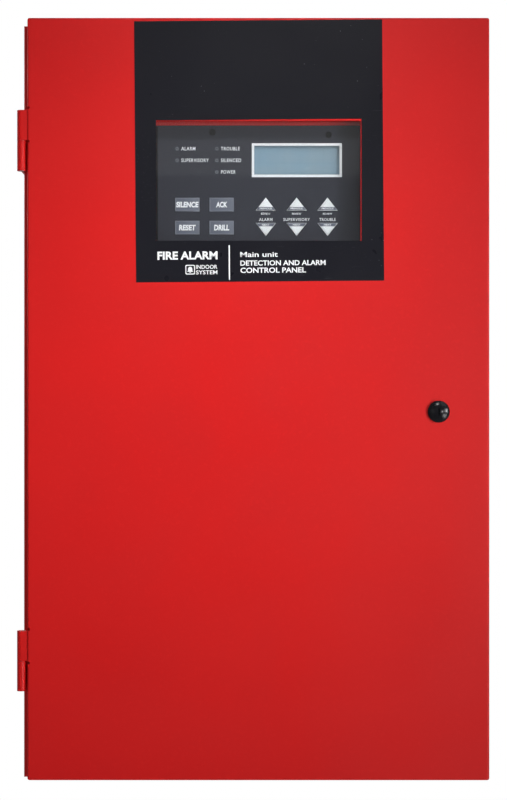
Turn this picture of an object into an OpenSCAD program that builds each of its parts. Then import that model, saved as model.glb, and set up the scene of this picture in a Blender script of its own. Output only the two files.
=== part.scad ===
// Wall-mounted fire alarm control panel. A steel box sits in the wall, a stepped
// collar in front of it covers the edge of the hole, and a hinged door with a window
// covers the collar. A display panel with keys stands behind the window. A chassis
// tray, the circuit board, the transformer and two batteries fill the box.
// Origin: centre of the box's rear face. +X is right, +Z is up, the door faces -Y.
// A depth is a Y value, so it grows more negative from the wall towards the door.

/* [Body] */
// Width of the recessed box
box_w = 368.3; // [366.5:0.1:370]
// Height of the recessed box
box_h = 628.65; // [627:0.05:634]
// Depth of the recessed box
box_d = 87.4; // [87:0.1:90]
// Width of the collar around the box
collar_w = 406.4; // [404:0.1:410]
// Depth of the collar in front of the box
collar_d = 20.25; // [19.5:0.05:24]
// Outer radius of the collar's bends
collar_bend = 3.5; // [2:0.5:5]
// Width of the collar's front lip
lip_w = 14; // [12:0.5:16]
// Thickness of the sheet steel
sheet = 1.5; // [1.3:0.1:1.6]
// Diameter of a conduit knockout
knockout_d = 22.2; // [20:0.1:24]
// Diameter of a wall screw's hole
wall_hole_d = 7.1; // [5:0.1:9]
// Distance between the wall screws across the box
wall_holes_x = 300; // [280:1:310]
// Distance between the wall screws up the box
wall_holes_z = 598; // [590:1:602]

/* [Door] */
// Width of the door
door_w = 406.4; // [400:0.1:410]
// Height of the door
door_h = 670.6; // [664:0.1:676]
// Depth of the door's flanges
door_d = 12.7; // [12:0.1:16]
// Gap between the flanges and the collar
door_gap = 0.3; // [0.3:0.1:1.5]
// How far the door sits to the right of the box
door_dx = 4.8; // [4.2:0.1:7]
// How far the door sits above the middle of the box
door_dz = 1.8; // [0:0.1:3]
// Outer radius of the door's bends
door_bend = 1.7; // [1.7:0.1:3]
// Radius of the door's corners
door_corner = 2.6; // [2:0.1:5]
// Width of the window
window_w = 180; // [160:0.1:190]
// Height of the window
window_h = 105.6; // [90:0.1:110]
// Middle of the window up the door
window_z = 191.8; // [188:0.1:196]
// Thickness of the clear pane
pane_t = 2; // [1:0.5:3]
// Width of the black label
overlay_w = 218; // [212:0.5:230]
// Height of the black label
overlay_h = 229.5; // [215:0.5:240]
// Angle that the label was stuck on at
overlay_tilt = 0.45; // [0:0.05:0.8]

/* [Hinges] */
// Diameter of a knuckle
knuckle_d = 8; // [7.5:0.1:8.5]
// Length of one knuckle
knuckle_len = 26.6; // [20:0.1:30]
// Diameter of a hinge pin
pin_d = 5; // [4:0.1:5.2]
// Height of the joint between the upper hinge's knuckles
upper_hinge_z = 229.7; // [200:0.1:260]
// Height of the joint between the lower hinge's knuckles
lower_hinge_z = -228.8; // [-260:0.1:-200]

/* [Lock] */
// Middle of the lock across the door
lock_x = 158.4; // [150:0.1:160]
// Middle of the lock up the door
lock_z = -11.1; // [-40:0.1:40]
// Diameter of the lock's head
lock_head_d = 19.2; // [18:0.1:22]
// Height of the lock's head
lock_head_h = 4.4; // [3.5:0.1:7]
// Diameter of the lock's barrel
lock_barrel_d = 16; // [15:0.1:17]
// Diameter of the turning plug
lock_plug_d = 12; // [10:0.1:13]
// Reach of the cam from the lock's axis
cam_reach = 33; // [30:0.5:36]

/* [Display] */
// Width of the display's faceplate
plate_w = 183; // [180:0.5:190]
// Height of the display's faceplate
plate_h = 112; // [108:0.5:118]
// Middle of the faceplate across the box
display_x = 4.8; // [2:0.1:8]
// Middle of the faceplate up the box
display_z = 189.8; // [180:0.1:195]
// Distance from the door's face to the faceplate
display_gap = 20; // [19:0.5:24]
// Width of the text display's window
lcd_w = 75.8; // [60:0.1:77]
// Height of the text display's window
lcd_h = 25.5; // [18:0.1:26]
// Diameter of a status lamp
led_d = 3; // [2:0.1:4]

/* [Keys] */
// Width of a rectangular key
key_w = 21.5; // [18:0.1:24]
// Height of a rectangular key
key_h = 12.1; // [10:0.1:14]
// Width of a triangular key
arrow_w = 17.65; // [14:0.05:20]
// Height of a triangular key
arrow_h = 11.3; // [9:0.1:12]
// Gap around a key
key_gap = 0.25; // [0.2:0.05:0.5]
// How far a key stands out of the faceplate
key_proud = 0.8; // [0.7:0.1:1.5]

/* [Inside] */
// Width of a battery
battery_w = 180.5; // [150:0.5:181]
// Height of a battery
battery_h = 167; // [120:0.5:168]
// Depth of a battery
battery_d = 76.2; // [60:0.1:77]
// Width of the circuit board
board_w = 250; // [240:1:252]
// Height of the circuit board
board_h = 210; // [200:1:212]
// Diameter of a battery lead
lead_d = 3.5; // [2:0.1:4]

/* [Hidden] */
$fn = 48;
over = 1;                                  // how far a cutter runs past a face
flush = 0.1;                               // gap between a moving flange and what stops it

// Depths, from the wall to the door
wall_in = -sheet;
tray_t = 1.2;
tray_back = -12.3;
tray_front = tray_back - tray_t;
board_lift = 8;
board_t = 1.6;
board_back = tray_front - board_lift;
board_front = board_back - board_t;
collar_back = -box_d;
collar_front = collar_back - collar_d;
door_back = collar_front - door_gap;
door_face = door_back - door_d;
door_inner = door_face + sheet;
plate_t = 1.5;
plate_front = door_face + display_gap;
plate_back = plate_front + plate_t;
bracket_back = plate_back + tray_t;

// Collar
box_in_w = box_w - 2 * sheet;
box_in_h = box_h - 2 * sheet;
collar_step = (collar_w - box_in_w) / 2;
collar_h = box_in_h + 2 * collar_step;
wrap_bend = 3;

// Knockouts: places across the box, at the middle of its depth
top_knockout_xs = [-140, -70, 0, 70, 140];
open_knockout_xs = [-70, 70];
bottom_knockout_xs = [-105, 0, 105];
knockout_y = -45;
groove_w = 0.8;
groove_d = 0.9;
large_knockout_d = 28.2;

// Door
door_rim = 14;
film_t = 0.3;
overlay_x = 0.7;
overlay_top = door_h / 2 - 2.5;
cutout_gap = [-0.1, 0.6, -0.15];           // from the window's left, right and lower edge to the label
cutout_rise = [0.3, 1.8];                  // from its upper edge, at the left and at the right
pane_margin = 12;
stud_inset = 6;
stud_r = 2;
stud_len = 7.5;
stud_hole_r = 2.3;
nut_r = 3.9;
nut_t = 3.2;

// Hinges: the axis is a knuckle's radius behind the door's sheet, in line with the box leaf
knuckle_r = knuckle_d / 2;
hinge_x = -(collar_w + sheet) / 2;
hinge_y = door_inner + knuckle_r;
hinge_gap = 0.3;
pin_clearance = 0.05;
door_leaf_end = -175;
box_leaf_end = collar_back - 5;
notch_slack = 0.4;
relief = 2.2;

// Lock
lock_clearance = 0.05;
lock_dome_h = 2.2;
lock_back = door_inner + 10.5;
tang_w = 7;
cam_t = 2;
cam_front = -105.4;
cam_back = cam_front + cam_t;
cam_w = 14;
cam_hub_r = 9;
lock_nut_t = 4;
lock_nut_r = 12.7;

// Display, with places counted from the faceplate's middle
bracket_w = 201;
bracket_h = 132;
bracket_foot = 15;
bracket_open = [154, 87];
bracket_open_at = [-1, -1.5];
hem_r = 0.9;
hem_z = 57.8;
display_board_w = 190;
display_board_h = 118;
display_board_front = -86;
display_board_back = display_board_front + board_t;
display_fix_x = 90;
display_fix_z = 54;
lcd_at = [34.4, 25.2];
lcd_frame_w = 97;
lcd_frame_h = 40;
lcd_frame_front = bracket_back + 0.05;
lcd_board_w = 98;
lcd_board_h = 60;
lcd_board_front = -90.4;
lcd_board_back = lcd_board_front + board_t;
lcd_fix_x = 46.5;
lcd_fix_z = 27.5;
led_cols = [-72.3, -36.9];
led_rows = [35.5, 25.1, 14.7];
led_places = [[0, 0], [0, 1], [1, 0], [1, 1], [1, 2]];
led_clearance = 0.1;

// Keys
key_cols = [-63.1, -32.6];
key_rows = [-14.4, -34.9];
arrow_cols = [for (n = [0 : 2]) 6.7 + 27.5 * n];
arrow_up_base = -19.6;
arrow_down_base = -30.8;
key_flange = 1.2;
key_flange_t = 1;
stem_r = 1.7;
stem_tip = -90.6;
switch_w = 6;
switch_front = -91;
switch_hole_r = 1.9;
switch_hole_d = 2;
key_places = [for (x = key_cols, z = key_rows) [x, z]];
arrow_places = [for (x = arrow_cols, s = [1, -1]) [x, arrow_middle(s)]];

// Chassis tray
tray_w = 344;
tray_foot_w = 9;
tray_bottom = -100;
tray_top = 285;
tray_screw_zs = [-80, 92, 270];

// Circuit board
board_x = 43;
board_z = 11;
board_fix_x = board_w / 2 - 5;
board_fix_z = board_h / 2 - 5;
screw_r = 3;
screw_t = 2;

// Transformer
trafo_x = -128;
trafo_z = -42;
leg_w = 12.7;
core_len = 6 * leg_w;
core_tall = 5 * leg_w;
core_stack = 40;
coil_wall = 12;
strap_foot = 13;

// Batteries
battery_bottom = -box_in_h / 2;
battery_top = battery_bottom + battery_h;
battery_rear = -6;
battery_gap = 1;
terminal_y = -66;
terminal_x = 16;
terminal_far_x = 166;
terminal_top = -136;

// Routes of the wires, as points along their middles
lead_r = lead_d / 2;
black_route = [
    [-166, -66, -136], [-166, -66, -132], [-166, -66, -128], [-160, -63, -120], [-140, -57, -117],
    [-100, -50, -116], [-60, -44, -116], [-20, -38, -115], [4, -34, -112], [14, -31, -106],
    [16, -30, -102], [16, -30, -98], [16, -30, -94]
];
red_route = [
    [166, -66, -136], [166, -66, -132], [166, -66, -128], [160, -63, -120], [140, -57, -117],
    [110, -50, -116], [80, -44, -115], [50, -38, -113], [32, -33, -109], [27, -31, -105],
    [26, -30, -102], [26, -30, -98], [26, -30, -94]
];
jumper_route = [
    [-16, -66, -136], [-16, -66, -133], [-16, -66, -130], [-11, -66, -125], [0, -66, -123],
    [11, -66, -125], [16, -66, -130], [16, -66, -133], [16, -66, -136]
];
trafo_routes = [for (n = [0 : 1]) [
    [-96, -50, -34 + 6 * n], [-94, -50, -34 + 6 * n], [-92, -50, -34 + 6 * n],
    [-87, -47, -32 + 6 * n], [-83, -40, -28 + 6 * n], [-79, -34, -24 + 6 * n],
    [-75, -32, -23 + 6 * n], [-73, -32, -23 + 6 * n], [-71, -32, -23 + 6 * n]
]];
ribbon_w = 26;
ribbon_x = 40;
ribbon_t = 1;
// Side view of the ribbon's middle line, as [depth, height]
ribbon_route = [[-76, 140], [-70, 140], [-60, 134], [-54, 122], [-50, 112], [-44, 104], [-40, 104]];

// ---- Shapes that several sub-parts use ----

// Box between two opposite corners
module block(low, high) {
    translate(low) cube(high - low);
}

// Flat shape drawn in the plane of the door, t thick, with its rear face at this depth
module facing(back, t) {
    translate([0, back, 0]) rotate([90, 0, 0]) linear_extrude(t) children();
}

// Round bar along the depth, from its rear end to its front end
module rod(x, z, back, front, r) {
    translate([x, back, z]) rotate([90, 0, 0]) cylinder(r = r, h = back - front);
}

// Rectangle with round corners
module rounded_rect(w, h, r) {
    square([w - 2 * r, h], center = true);
    square([w, h - 2 * r], center = true);
    for (x = [-1, 1], z = [-1, 1])
        translate([x * (w / 2 - r), z * (h / 2 - r)]) circle(r);
}

// Rectangle with one round corner at its low x and low y
module bent_rect(x0, x1, y0, y1, r) {
    translate([x0 + r, y0]) square([x1 - x0 - r, y1 - y0]);
    translate([x0, y0 + r]) square([x1 - x0, y1 - y0 - r]);
    translate([x0 + r, y0 + r]) circle(r);
}

// Rectangle with both corners at its low x round
module folded_rect(x0, x1, y0, y1, r) {
    intersection() {
        bent_rect(x0, x1, y0, y1, r);
        translate([0, y0 + y1]) mirror([0, 1]) bent_rect(x0, x1, y0, y1, r);
    }
}

// Rail of a frame, cut at 45 degrees at both ends; children() is its section
module mitred_rail(length, width, back, depth) {
    intersection() {
        linear_extrude(length, center = true) children();
        facing(back, depth) polygon([
            [0, -length / 2], [width, width - length / 2],
            [width, length / 2 - width], [0, length / 2]
        ]);
    }
}

// Four rails that meet as a frame w wide and h high
module rail_frame(w, h, width, back, depth) {
    for (k = [0 : 3]) {
        across = k % 2 == 0 ? w : h;
        along = k % 2 == 0 ? h : w;
        rotate([0, 90 * k, 0]) translate([-across / 2, 0, 0])
            mitred_rail(along, width, back, depth) children();
    }
}

// Tube swept along a smooth curve through the points of a route
function mix(p, t) = 0.5 * (2 * p[1] + (p[2] - p[0]) * t
    + (2 * p[0] - 5 * p[1] + 4 * p[2] - p[3]) * t * t
    + (3 * p[1] - p[0] - 3 * p[2] + p[3]) * t * t * t);
function along(route, i, t) = mix([
    route[max(i - 1, 0)], route[i], route[i + 1], route[min(i + 2, len(route) - 1)]
], t);
function curve(route, steps) = concat(
    [for (i = [0 : len(route) - 2], s = [0 : steps - 1]) along(route, i, s / steps)],
    [route[len(route) - 1]]
);
function heading(path, i) = path[min(i + 1, len(path) - 1)] - path[max(i - 1, 0)];
function unit(v) = v / norm(v);
function ring(path, i, r, sides) = let (
    d = unit(heading(path, i)),
    u = unit(cross(d, [0.3, 1, 0.2])),
    v = cross(d, u)
) [for (k = [0 : sides - 1]) path[i] + r * (u * cos(360 * k / sides) + v * sin(360 * k / sides))];

module tube(route, r, steps = 4, sides = 8) {
    path = curve(route, steps);
    n = len(path);
    polyhedron(
        [for (i = [0 : n - 1]) each ring(path, i, r, sides)],
        concat(
            [[for (k = [0 : sides - 1]) k]],
            [for (i = [0 : n - 2], k = [0 : sides - 1]) let (
                a = i * sides + k,
                b = i * sides + (k + 1) % sides
            ) [a, a + sides, b + sides, b]],
            [[for (k = [sides - 1 : -1 : 0]) (n - 1) * sides + k]]
        )
    );
}

// ---- Box and collar ----

// Section of the box's folded wall: the outline of the box, open to the front
module wrap_outline(w, d, r) {
    translate([-w / 2, -d]) square([w, d - r]);
    translate([r - w / 2, -d]) square([w - 2 * r, d]);
    for (x = [-1, 1]) translate([x * (w / 2 - r), -r]) circle(r);
}

module back_wrap() color("firebrick") {
    difference() {
        linear_extrude(box_h, center = true) difference() {
            wrap_outline(box_w, box_d, wrap_bend);
            translate([0, -sheet]) wrap_outline(box_in_w, box_d, wrap_bend - sheet);
        }
        for (x = [-1, 1], z = [-1, 1])
            rod(x * wall_holes_x / 2, z * wall_holes_z / 2, over, -sheet - over, wall_hole_d / 2);
    }
}

// Pre-cut ring of a knockout that hasn't been opened
module knockout_ring(x, d) {
    translate([x, knockout_y, 0]) difference() {
        cylinder(d = d, h = groove_d + over);
        translate([0, 0, -over]) cylinder(d = d - 2 * groove_w, h = groove_d + 3 * over);
    }
}

module end_plate(xs, open_xs) color("firebrick") {
    difference() {
        linear_extrude(sheet) translate([0, -sheet])
            wrap_outline(box_in_w, box_d - sheet, wrap_bend - sheet);
        for (x = xs)
            translate([0, 0, sheet - groove_d]) knockout_ring(x, large_knockout_d);
        for (x = xs)
            if (len(search(x, open_xs)) == 0)
                translate([0, 0, sheet - groove_d]) knockout_ring(x, knockout_d);
        for (x = open_xs)
            translate([x, knockout_y, -over]) cylinder(d = knockout_d, h = sheet + 2 * over);
    }
}

module top_plate() {
    translate([0, 0, box_h / 2 - sheet]) end_plate(top_knockout_xs, open_knockout_xs);
}

module bottom_plate() {
    mirror([0, 0, 1]) translate([0, 0, box_h / 2 - sheet]) end_plate(bottom_knockout_xs, []);
}

module collar_section() difference() {
    folded_rect(0, collar_step, collar_front, collar_back, collar_bend);
    folded_rect(
        sheet, collar_step + over, collar_front + sheet, collar_back - sheet, collar_bend - sheet
    );
    translate([lip_w, collar_front - over]) square([collar_step, collar_d - sheet + over]);
}

module front_frame() color("firebrick") {
    rail_frame(collar_w, collar_h, collar_step, collar_back, collar_d) collar_section();
}

// ---- Hinges ----

module hinge_leaves(low, high) color("firebrick") {
    for (z = [upper_hinge_z, lower_hinge_z])
        translate([hinge_x, hinge_y, z + low]) linear_extrude(high - low) children();
}

// The lower half of each hinge, welded to the side of the collar
module hinge_box_leaves() hinge_leaves(-knuckle_len, -hinge_gap / 2) difference() {
    union() {
        circle(knuckle_r);
        translate([-sheet / 2, pin_d / 2 + over / 2]) square([sheet, box_leaf_end - hinge_y]);
    }
    circle(pin_d / 2);
}

// The upper half of each hinge, welded behind the door's sheet
module hinge_door_leaves() hinge_leaves(hinge_gap / 2, knuckle_len) difference() {
    union() {
        circle(knuckle_r);
        translate([0, -knuckle_r]) square([door_leaf_end - hinge_x, sheet]);
    }
    circle(pin_d / 2 + pin_clearance);
}

module hinge_pins() color("silver") {
    for (z = [upper_hinge_z, lower_hinge_z])
        translate([hinge_x, hinge_y, z - knuckle_len]) cylinder(d = pin_d, h = 2 * knuckle_len - 2);
}

// ---- Door ----

module on_door() {
    translate([door_dx, 0, door_dz]) children();
}

module door_section() difference() {
    bent_rect(0, door_rim, door_face, door_back, door_bend);
    bent_rect(sheet, door_rim + over, door_inner, door_back + over, door_bend - sheet);
}

module window_outline(margin, r) {
    translate([0, window_z]) rounded_rect(window_w + 2 * margin, window_h + 2 * margin, r);
}

module at_window_studs() {
    for (x = [-1, 0, 1], z = [-1, 1])
        translate([
            x * (window_w / 2 + stud_inset), 0, window_z + z * (window_h / 2 + stud_inset)
        ]) children();
}

// Slot in the door's left flange that a hinge leaf passes through, with a relief at each end
module hinge_notch(z) {
    edge = -door_w / 2;
    low = z + hinge_gap / 2 - notch_slack - door_dz;
    high = z + knuckle_len + notch_slack - door_dz;
    block([edge - over, door_inner, low], [edge + sheet + over, door_inner + sheet + notch_slack, high]);
    for (end = [low - relief, high])
        block([edge - over, door_face - over, end], [edge + relief, door_inner + relief, end + relief]);
}

module door_panel() color("red") on_door() {
    difference() {
        intersection() {
            union() {
                rail_frame(door_w, door_h, door_rim, door_back, door_d) door_section();
                facing(door_inner, sheet) square([door_w - 2 * door_bend, door_h - 2 * door_bend],
                    center = true);
            }
            facing(door_back, door_d) rounded_rect(door_w, door_h, door_corner);
        }
        facing(door_inner + over, sheet + 2 * over) window_outline(0, 1);
        rod(lock_x, lock_z, door_inner + over, door_face - over, lock_barrel_d / 2 + lock_clearance);
        for (z = [upper_hinge_z, lower_hinge_z]) hinge_notch(z);
    }
    at_window_studs() rod(0, 0, door_inner + stud_len, door_inner - sheet / 2, stud_r);
}

// The label sits a little askew, so a sliver of the door shows around the window
module door_overlay() color("black") on_door() {
    left = -window_w / 2 - cutout_gap[0];
    right = window_w / 2 + cutout_gap[1];
    bottom = window_z - window_h / 2 - cutout_gap[2];
    top = window_z + window_h / 2;
    facing(door_face, film_t) difference() {
        translate([overlay_x, overlay_top - overlay_h / 2]) rotate(overlay_tilt)
            square([overlay_w, overlay_h], center = true);
        polygon([
            [left, bottom],
            [right, bottom],
            [right, top + cutout_rise[1]],
            [left, top + cutout_rise[0]],
        ]);
    }
}

module window_pane() color("lightgrey", 0.4) on_door() {
    difference() {
        facing(door_inner + pane_t, pane_t) window_outline(pane_margin, 2);
        at_window_studs() rod(0, 0, door_inner + pane_t + over, door_inner - over, stud_hole_r);
    }
}

module window_nuts() color("silver") on_door() {
    at_window_studs() difference() {
        translate([0, door_inner + pane_t + nut_t, 0]) rotate([90, 0, 0])
            cylinder(r = nut_r, h = nut_t, $fn = 6);
        rod(0, 0, door_inner + pane_t + nut_t + over, door_inner, stud_r + lock_clearance);
    }
}

// ---- Lock ----

module on_lock() {
    on_door() translate([lock_x, 0, lock_z]) children();
}

// Bar as wide as the head's dome or narrower, with the dome's round front
module domed_rod(back, r) {
    dome_r = (pow(lock_head_d / 2, 2) + pow(lock_dome_h, 2)) / (2 * lock_dome_h);
    intersection() {
        rod(0, 0, back, door_face - lock_head_h - over, r);
        translate([0, door_face - lock_head_h + dome_r, 0]) sphere(dome_r);
    }
}

module lock_housing() color("black") on_lock() {
    difference() {
        union() {
            rod(0, 0, lock_back, door_face, lock_barrel_d / 2);
            domed_rod(door_face, lock_head_d / 2);
        }
        rod(0, 0, lock_back + over, door_face - lock_head_h - over,
            lock_plug_d / 2 + lock_clearance);
    }
}

module lock_nut() color("silver") on_lock() {
    difference() {
        translate([0, door_inner + lock_nut_t, 0]) rotate([90, 0, 0])
            cylinder(r = lock_nut_r, h = lock_nut_t, $fn = 6);
        rod(0, 0, door_inner + lock_nut_t + over, door_inner - over,
            lock_barrel_d / 2 + lock_clearance);
    }
}

module lock_plug() color("dimgray") on_lock() {
    slot_w = 1.2;
    slot_h = 6.5;
    slot_d = 6;
    plug_front = door_face - lock_head_h;
    difference() {
        union() {
            rod(0, 0, lock_back, door_face, lock_plug_d / 2);
            domed_rod(door_face, lock_plug_d / 2);
        }
        block([-slot_w / 2, plug_front - over, -slot_h / 2], [slot_w / 2, plug_front + slot_d, slot_h / 2]);
    }
    facing(cam_back, cam_back - lock_back) square(tang_w, center = true);
}

module lock_cam() color("silver") on_lock() {
    facing(cam_back, cam_t) difference() {
        union() {
            circle(cam_hub_r);
            translate([-cam_w / 2, cam_w / 2 - cam_reach]) square([cam_w, cam_reach - cam_w / 2]);
            translate([0, cam_w / 2 - cam_reach]) circle(cam_w / 2);
        }
        square(tang_w, center = true);
    }
}

module lock_cam_screw() color("silver") on_lock() rod(0, 0, cam_back + 2.5, cam_back, 5.5);

// ---- Display ----

module on_display() {
    translate([display_x, 0, display_z]) children();
}

module at_display_fixings() {
    for (x = [-1, 1], z = [-1, 1]) translate([x * display_fix_x, 0, z * display_fix_z]) children();
}

module at_lcd_fixings() {
    for (x = [-1, 1], z = [-1, 1])
        translate([lcd_at[0] + x * lcd_fix_x, 0, lcd_at[1] + z * lcd_fix_z]) children();
}

module display_bracket() color("firebrick") on_display() {
    leg_hole = [44, 80];
    foot_back = tray_front;
    facing(bracket_back, tray_t) difference() {
        square([bracket_w, bracket_h], center = true);
        translate(bracket_open_at) square(bracket_open, center = true);
    }
    for (side = [0, 1]) mirror([side, 0, 0]) {
        difference() {
            block([bracket_w / 2 - tray_t, bracket_back, -bracket_h / 2],
                [bracket_w / 2, foot_back, bracket_h / 2]);
            block([bracket_w / 2 - tray_t - over, -55 - leg_hole[0] / 2, -leg_hole[1] / 2],
                [bracket_w / 2 + over, -55 + leg_hole[0] / 2, leg_hole[1] / 2]);
        }
        block([bracket_w / 2, foot_back - tray_t, -bracket_h / 2],
            [bracket_w / 2 + bracket_foot, foot_back, bracket_h / 2]);
    }
    // Hemmed lip above the faceplate
    block([-bracket_w / 2, plate_back - 2 * hem_r, hem_z], [bracket_w / 2, plate_back, bracket_h / 2]);
    translate([0, plate_back - hem_r, hem_z]) rotate([0, 90, 0])
        cylinder(r = hem_r, h = bracket_w, center = true);
}

module display_board() color("darkgreen") on_display() {
    facing(display_board_back, board_t) square([display_board_w, display_board_h], center = true);
}

module key_outline(gap) {
    square([key_w + 2 * gap, key_h + 2 * gap], center = true);
}

// Triangle that points up, with its base at zero, grown by the gap on every side
module arrow_outline(gap) {
    half = arrow_w / 2;
    slope = norm([half, arrow_h]);
    corner = half + gap * (slope + half) / arrow_h;
    polygon([[-corner, -gap], [corner, -gap], [0, arrow_h + gap * slope / half]]);
}

// A triangular key's place: upright for s = 1, upside down for s = -1
module at_arrow(n, s) {
    translate([arrow_cols[n], 0, s > 0 ? arrow_up_base : arrow_down_base])
        mirror([0, 0, s > 0 ? 0 : 1]) children();
}
function arrow_middle(s) = s > 0 ? arrow_up_base + arrow_h / 3 : arrow_down_base - arrow_h / 3;

module display_faceplate() color("dimgray") on_display() {
    difference() {
        facing(plate_back, plate_t) square([plate_w, plate_h], center = true);
        facing(plate_back + over, plate_t + 2 * over) translate(lcd_at)
            square([lcd_w, lcd_h], center = true);
        for (p = led_places)
            rod(led_cols[p[0]], led_rows[p[1]], plate_back + over, plate_front - over,
                led_d / 2 + led_clearance);
        for (p = key_places)
            translate([p[0], 0, p[1]]) facing(plate_back + over, plate_t + 2 * over)
                key_outline(key_gap);
        for (n = [0 : 2], s = [1, -1])
            at_arrow(n, s) facing(plate_back + over, plate_t + 2 * over) arrow_outline(key_gap);
    }
}

module status_leds() color("gray") on_display() {
    seat = -95;
    proud = 0.2;
    for (p = led_places) translate([led_cols[p[0]], 0, led_rows[p[1]]]) {
        rod(0, 0, seat, plate_front - proud, led_d / 2);
        rod(0, 0, display_board_front, seat, led_d / 2 + 0.4);
    }
}

module lcd_board() color("darkgreen") on_display() {
    translate([lcd_at[0], 0, lcd_at[1]])
        facing(lcd_board_back, board_t) square([lcd_board_w, lcd_board_h], center = true);
}

module lcd_frame() color("black") on_display() {
    view = [lcd_w + 3, lcd_h + 2];
    translate([lcd_at[0], 0, lcd_at[1]]) difference() {
        facing(lcd_board_front, lcd_board_front - lcd_frame_front)
            square([lcd_frame_w, lcd_frame_h], center = true);
        facing(lcd_board_front + over, lcd_board_front - lcd_frame_front + 2 * over)
            square(view, center = true);
    }
}

module lcd_glass() color("lightsteelblue") on_display() {
    view = [lcd_w + 3, lcd_h + 2];
    recess = 0.6;
    translate([lcd_at[0], 0, lcd_at[1]])
        facing(lcd_board_front, lcd_board_front - lcd_frame_front - recess)
            square(view, center = true);
}

module tact_switches() color("black") on_display() {
    for (p = concat(key_places, arrow_places)) translate([p[0], 0, p[1]]) difference() {
        facing(display_board_front, display_board_front - switch_front)
            square(switch_w, center = true);
        rod(0, 0, switch_front + switch_hole_d, switch_front - over, switch_hole_r);
    }
}

// ---- Keys: a cap in the faceplate's hole, a flange behind it and a stem to the switch ----

module key_body() {
    cap_back = plate_back + flush;
    facing(cap_back, cap_back - plate_front + key_proud) children(0);
    facing(cap_back + key_flange_t, key_flange_t) children(1);
}

module key_stem() {
    rod(0, 0, stem_tip, plate_back + flush + key_flange_t / 2, stem_r);
}

module flat_key(col, row) color("gray") on_display() {
    translate([key_cols[col], 0, key_rows[row]]) {
        key_body() {
            key_outline(0);
            key_outline(key_flange);
        }
        key_stem();
    }
}

module arrow_key(n, s) color("white") on_display() {
    at_arrow(n, s) key_body() {
        arrow_outline(0);
        arrow_outline(key_flange);
    }
    translate([arrow_cols[n], 0, arrow_middle(s)]) key_stem();
}

module key_silence() flat_key(0, 0);
module key_ack() flat_key(1, 0);
module key_reset() flat_key(0, 1);
module key_drill() flat_key(1, 1);
module key_alarm_up() arrow_key(0, 1);
module key_alarm_down() arrow_key(0, -1);
module key_supervisory_up() arrow_key(1, 1);
module key_supervisory_down() arrow_key(1, -1);
module key_trouble_up() arrow_key(2, 1);
module key_trouble_down() arrow_key(2, -1);

// ---- Chassis tray ----

module board_tray() color("silver") {
    leg_back = wall_in - tray_t;
    block([-tray_w / 2, tray_front, tray_bottom], [tray_w / 2, tray_back, tray_top]);
    for (side = [0, 1]) mirror([side, 0, 0]) {
        block([tray_w / 2 - tray_t, tray_back, tray_bottom], [tray_w / 2, wall_in, tray_top]);
        block([tray_w / 2, leg_back, tray_bottom], [tray_w / 2 + tray_foot_w, wall_in, tray_top]);
    }
}

module chassis_screws() color("silver") {
    foot_front = wall_in - tray_t;
    for (x = [-1, 1], z = tray_screw_zs)
        rod(x * (tray_w + tray_foot_w) / 2, z, foot_front, foot_front - screw_t, screw_r);
    for (x = [-1, 1], z = [-1, 1])
        rod(display_x + x * (bracket_w + bracket_foot) / 2, display_z + z * 50,
            tray_front - tray_t, tray_front - tray_t - screw_t, screw_r);
    for (z = [-1, 1])
        rod(trafo_x, trafo_z + z * (core_len / 2 + tray_t + strap_foot / 2),
            tray_front - tray_t, tray_front - tray_t - screw_t, screw_r);
}

// ---- Circuit board ----

module on_board() {
    translate([board_x, 0, board_z]) children();
}

module at_board_fixings() {
    for (x = [-1, 0, 1], z = [-1, 1]) translate([x * board_fix_x, 0, z * board_fix_z]) children();
}

// Box on the board: its middle across and up, its size, and how far it stands out
module component(x, z, w, h, tall) {
    block([x - w / 2, board_front - tall, z - h / 2], [x + w / 2, board_front, z + h / 2]);
}

module main_board() color("darkgreen") on_board() {
    facing(board_back, board_t) square([board_w, board_h], center = true);
}

module board_standoffs() color("silver") {
    spacer_r = 3.2;
    on_board() at_board_fixings() translate([0, tray_front, 0]) rotate([90, 0, 0])
        cylinder(r = spacer_r, h = board_lift, $fn = 6);
    on_display() at_display_fixings() translate([0, display_board_front, 0]) rotate([90, 0, 0])
        cylinder(r = spacer_r, h = display_board_front - bracket_back, $fn = 6);
    on_display() at_lcd_fixings() rod(0, 0, display_board_front, lcd_board_back, 2.5);
}

module board_screws() color("silver") {
    on_board() at_board_fixings() rod(0, 0, board_front, board_front - screw_t, screw_r);
    on_display() at_display_fixings()
        rod(0, 0, display_board_back + screw_t, display_board_back, screw_r);
}

// Row of screw terminals: a low front for the wires and a high rear for the screws
module terminal_row(x, z, ways, turn) {
    pitch = 5;
    translate([x, board_front, z]) rotate([0, turn, 0]) translate([-ways * pitch / 2, 0, 0])
        rotate([0, 90, 0]) linear_extrude(ways * pitch)
            polygon([[-6, 0], [6, 0], [6, -9], [3, -14], [-6, -14]]);
}

module terminal_blocks() color("seagreen") on_board() {
    for (side = [-1, 1], n = [0 : 2]) terminal_row(side * (22 + 33 * n), 6 - board_h / 2, 6, 0);
    for (n = [0 : 3]) terminal_row(board_w / 2 - 6, 64 - 34 * n, 6, -90);
    // Where the transformer's wires end
    component(-109, -34, 10, 14, 13);
}

module relays() color("white") on_board() {
    for (n = [0 : 3]) component(88, 68 - 32 * n, 20, 15, 16);
}

module capacitors() color("midnightblue") on_board() {
    for (n = [0 : 1]) rod(-96 + 24 * n, -60, board_front, board_front - 35, 9);
    for (n = [0 : 2]) rod(-40 + 18 * n, -66, board_front, board_front - 20, 6);
}

module logic_chips() color("black") on_board() {
    component(6, 18, 28, 28, 4);
    component(46, 22, 14, 26, 3);
    component(-34, 22, 36, 14, 4);
    component(-34, -12, 30, 12, 4);
    component(46, -24, 12, 22, 3);
}

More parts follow.
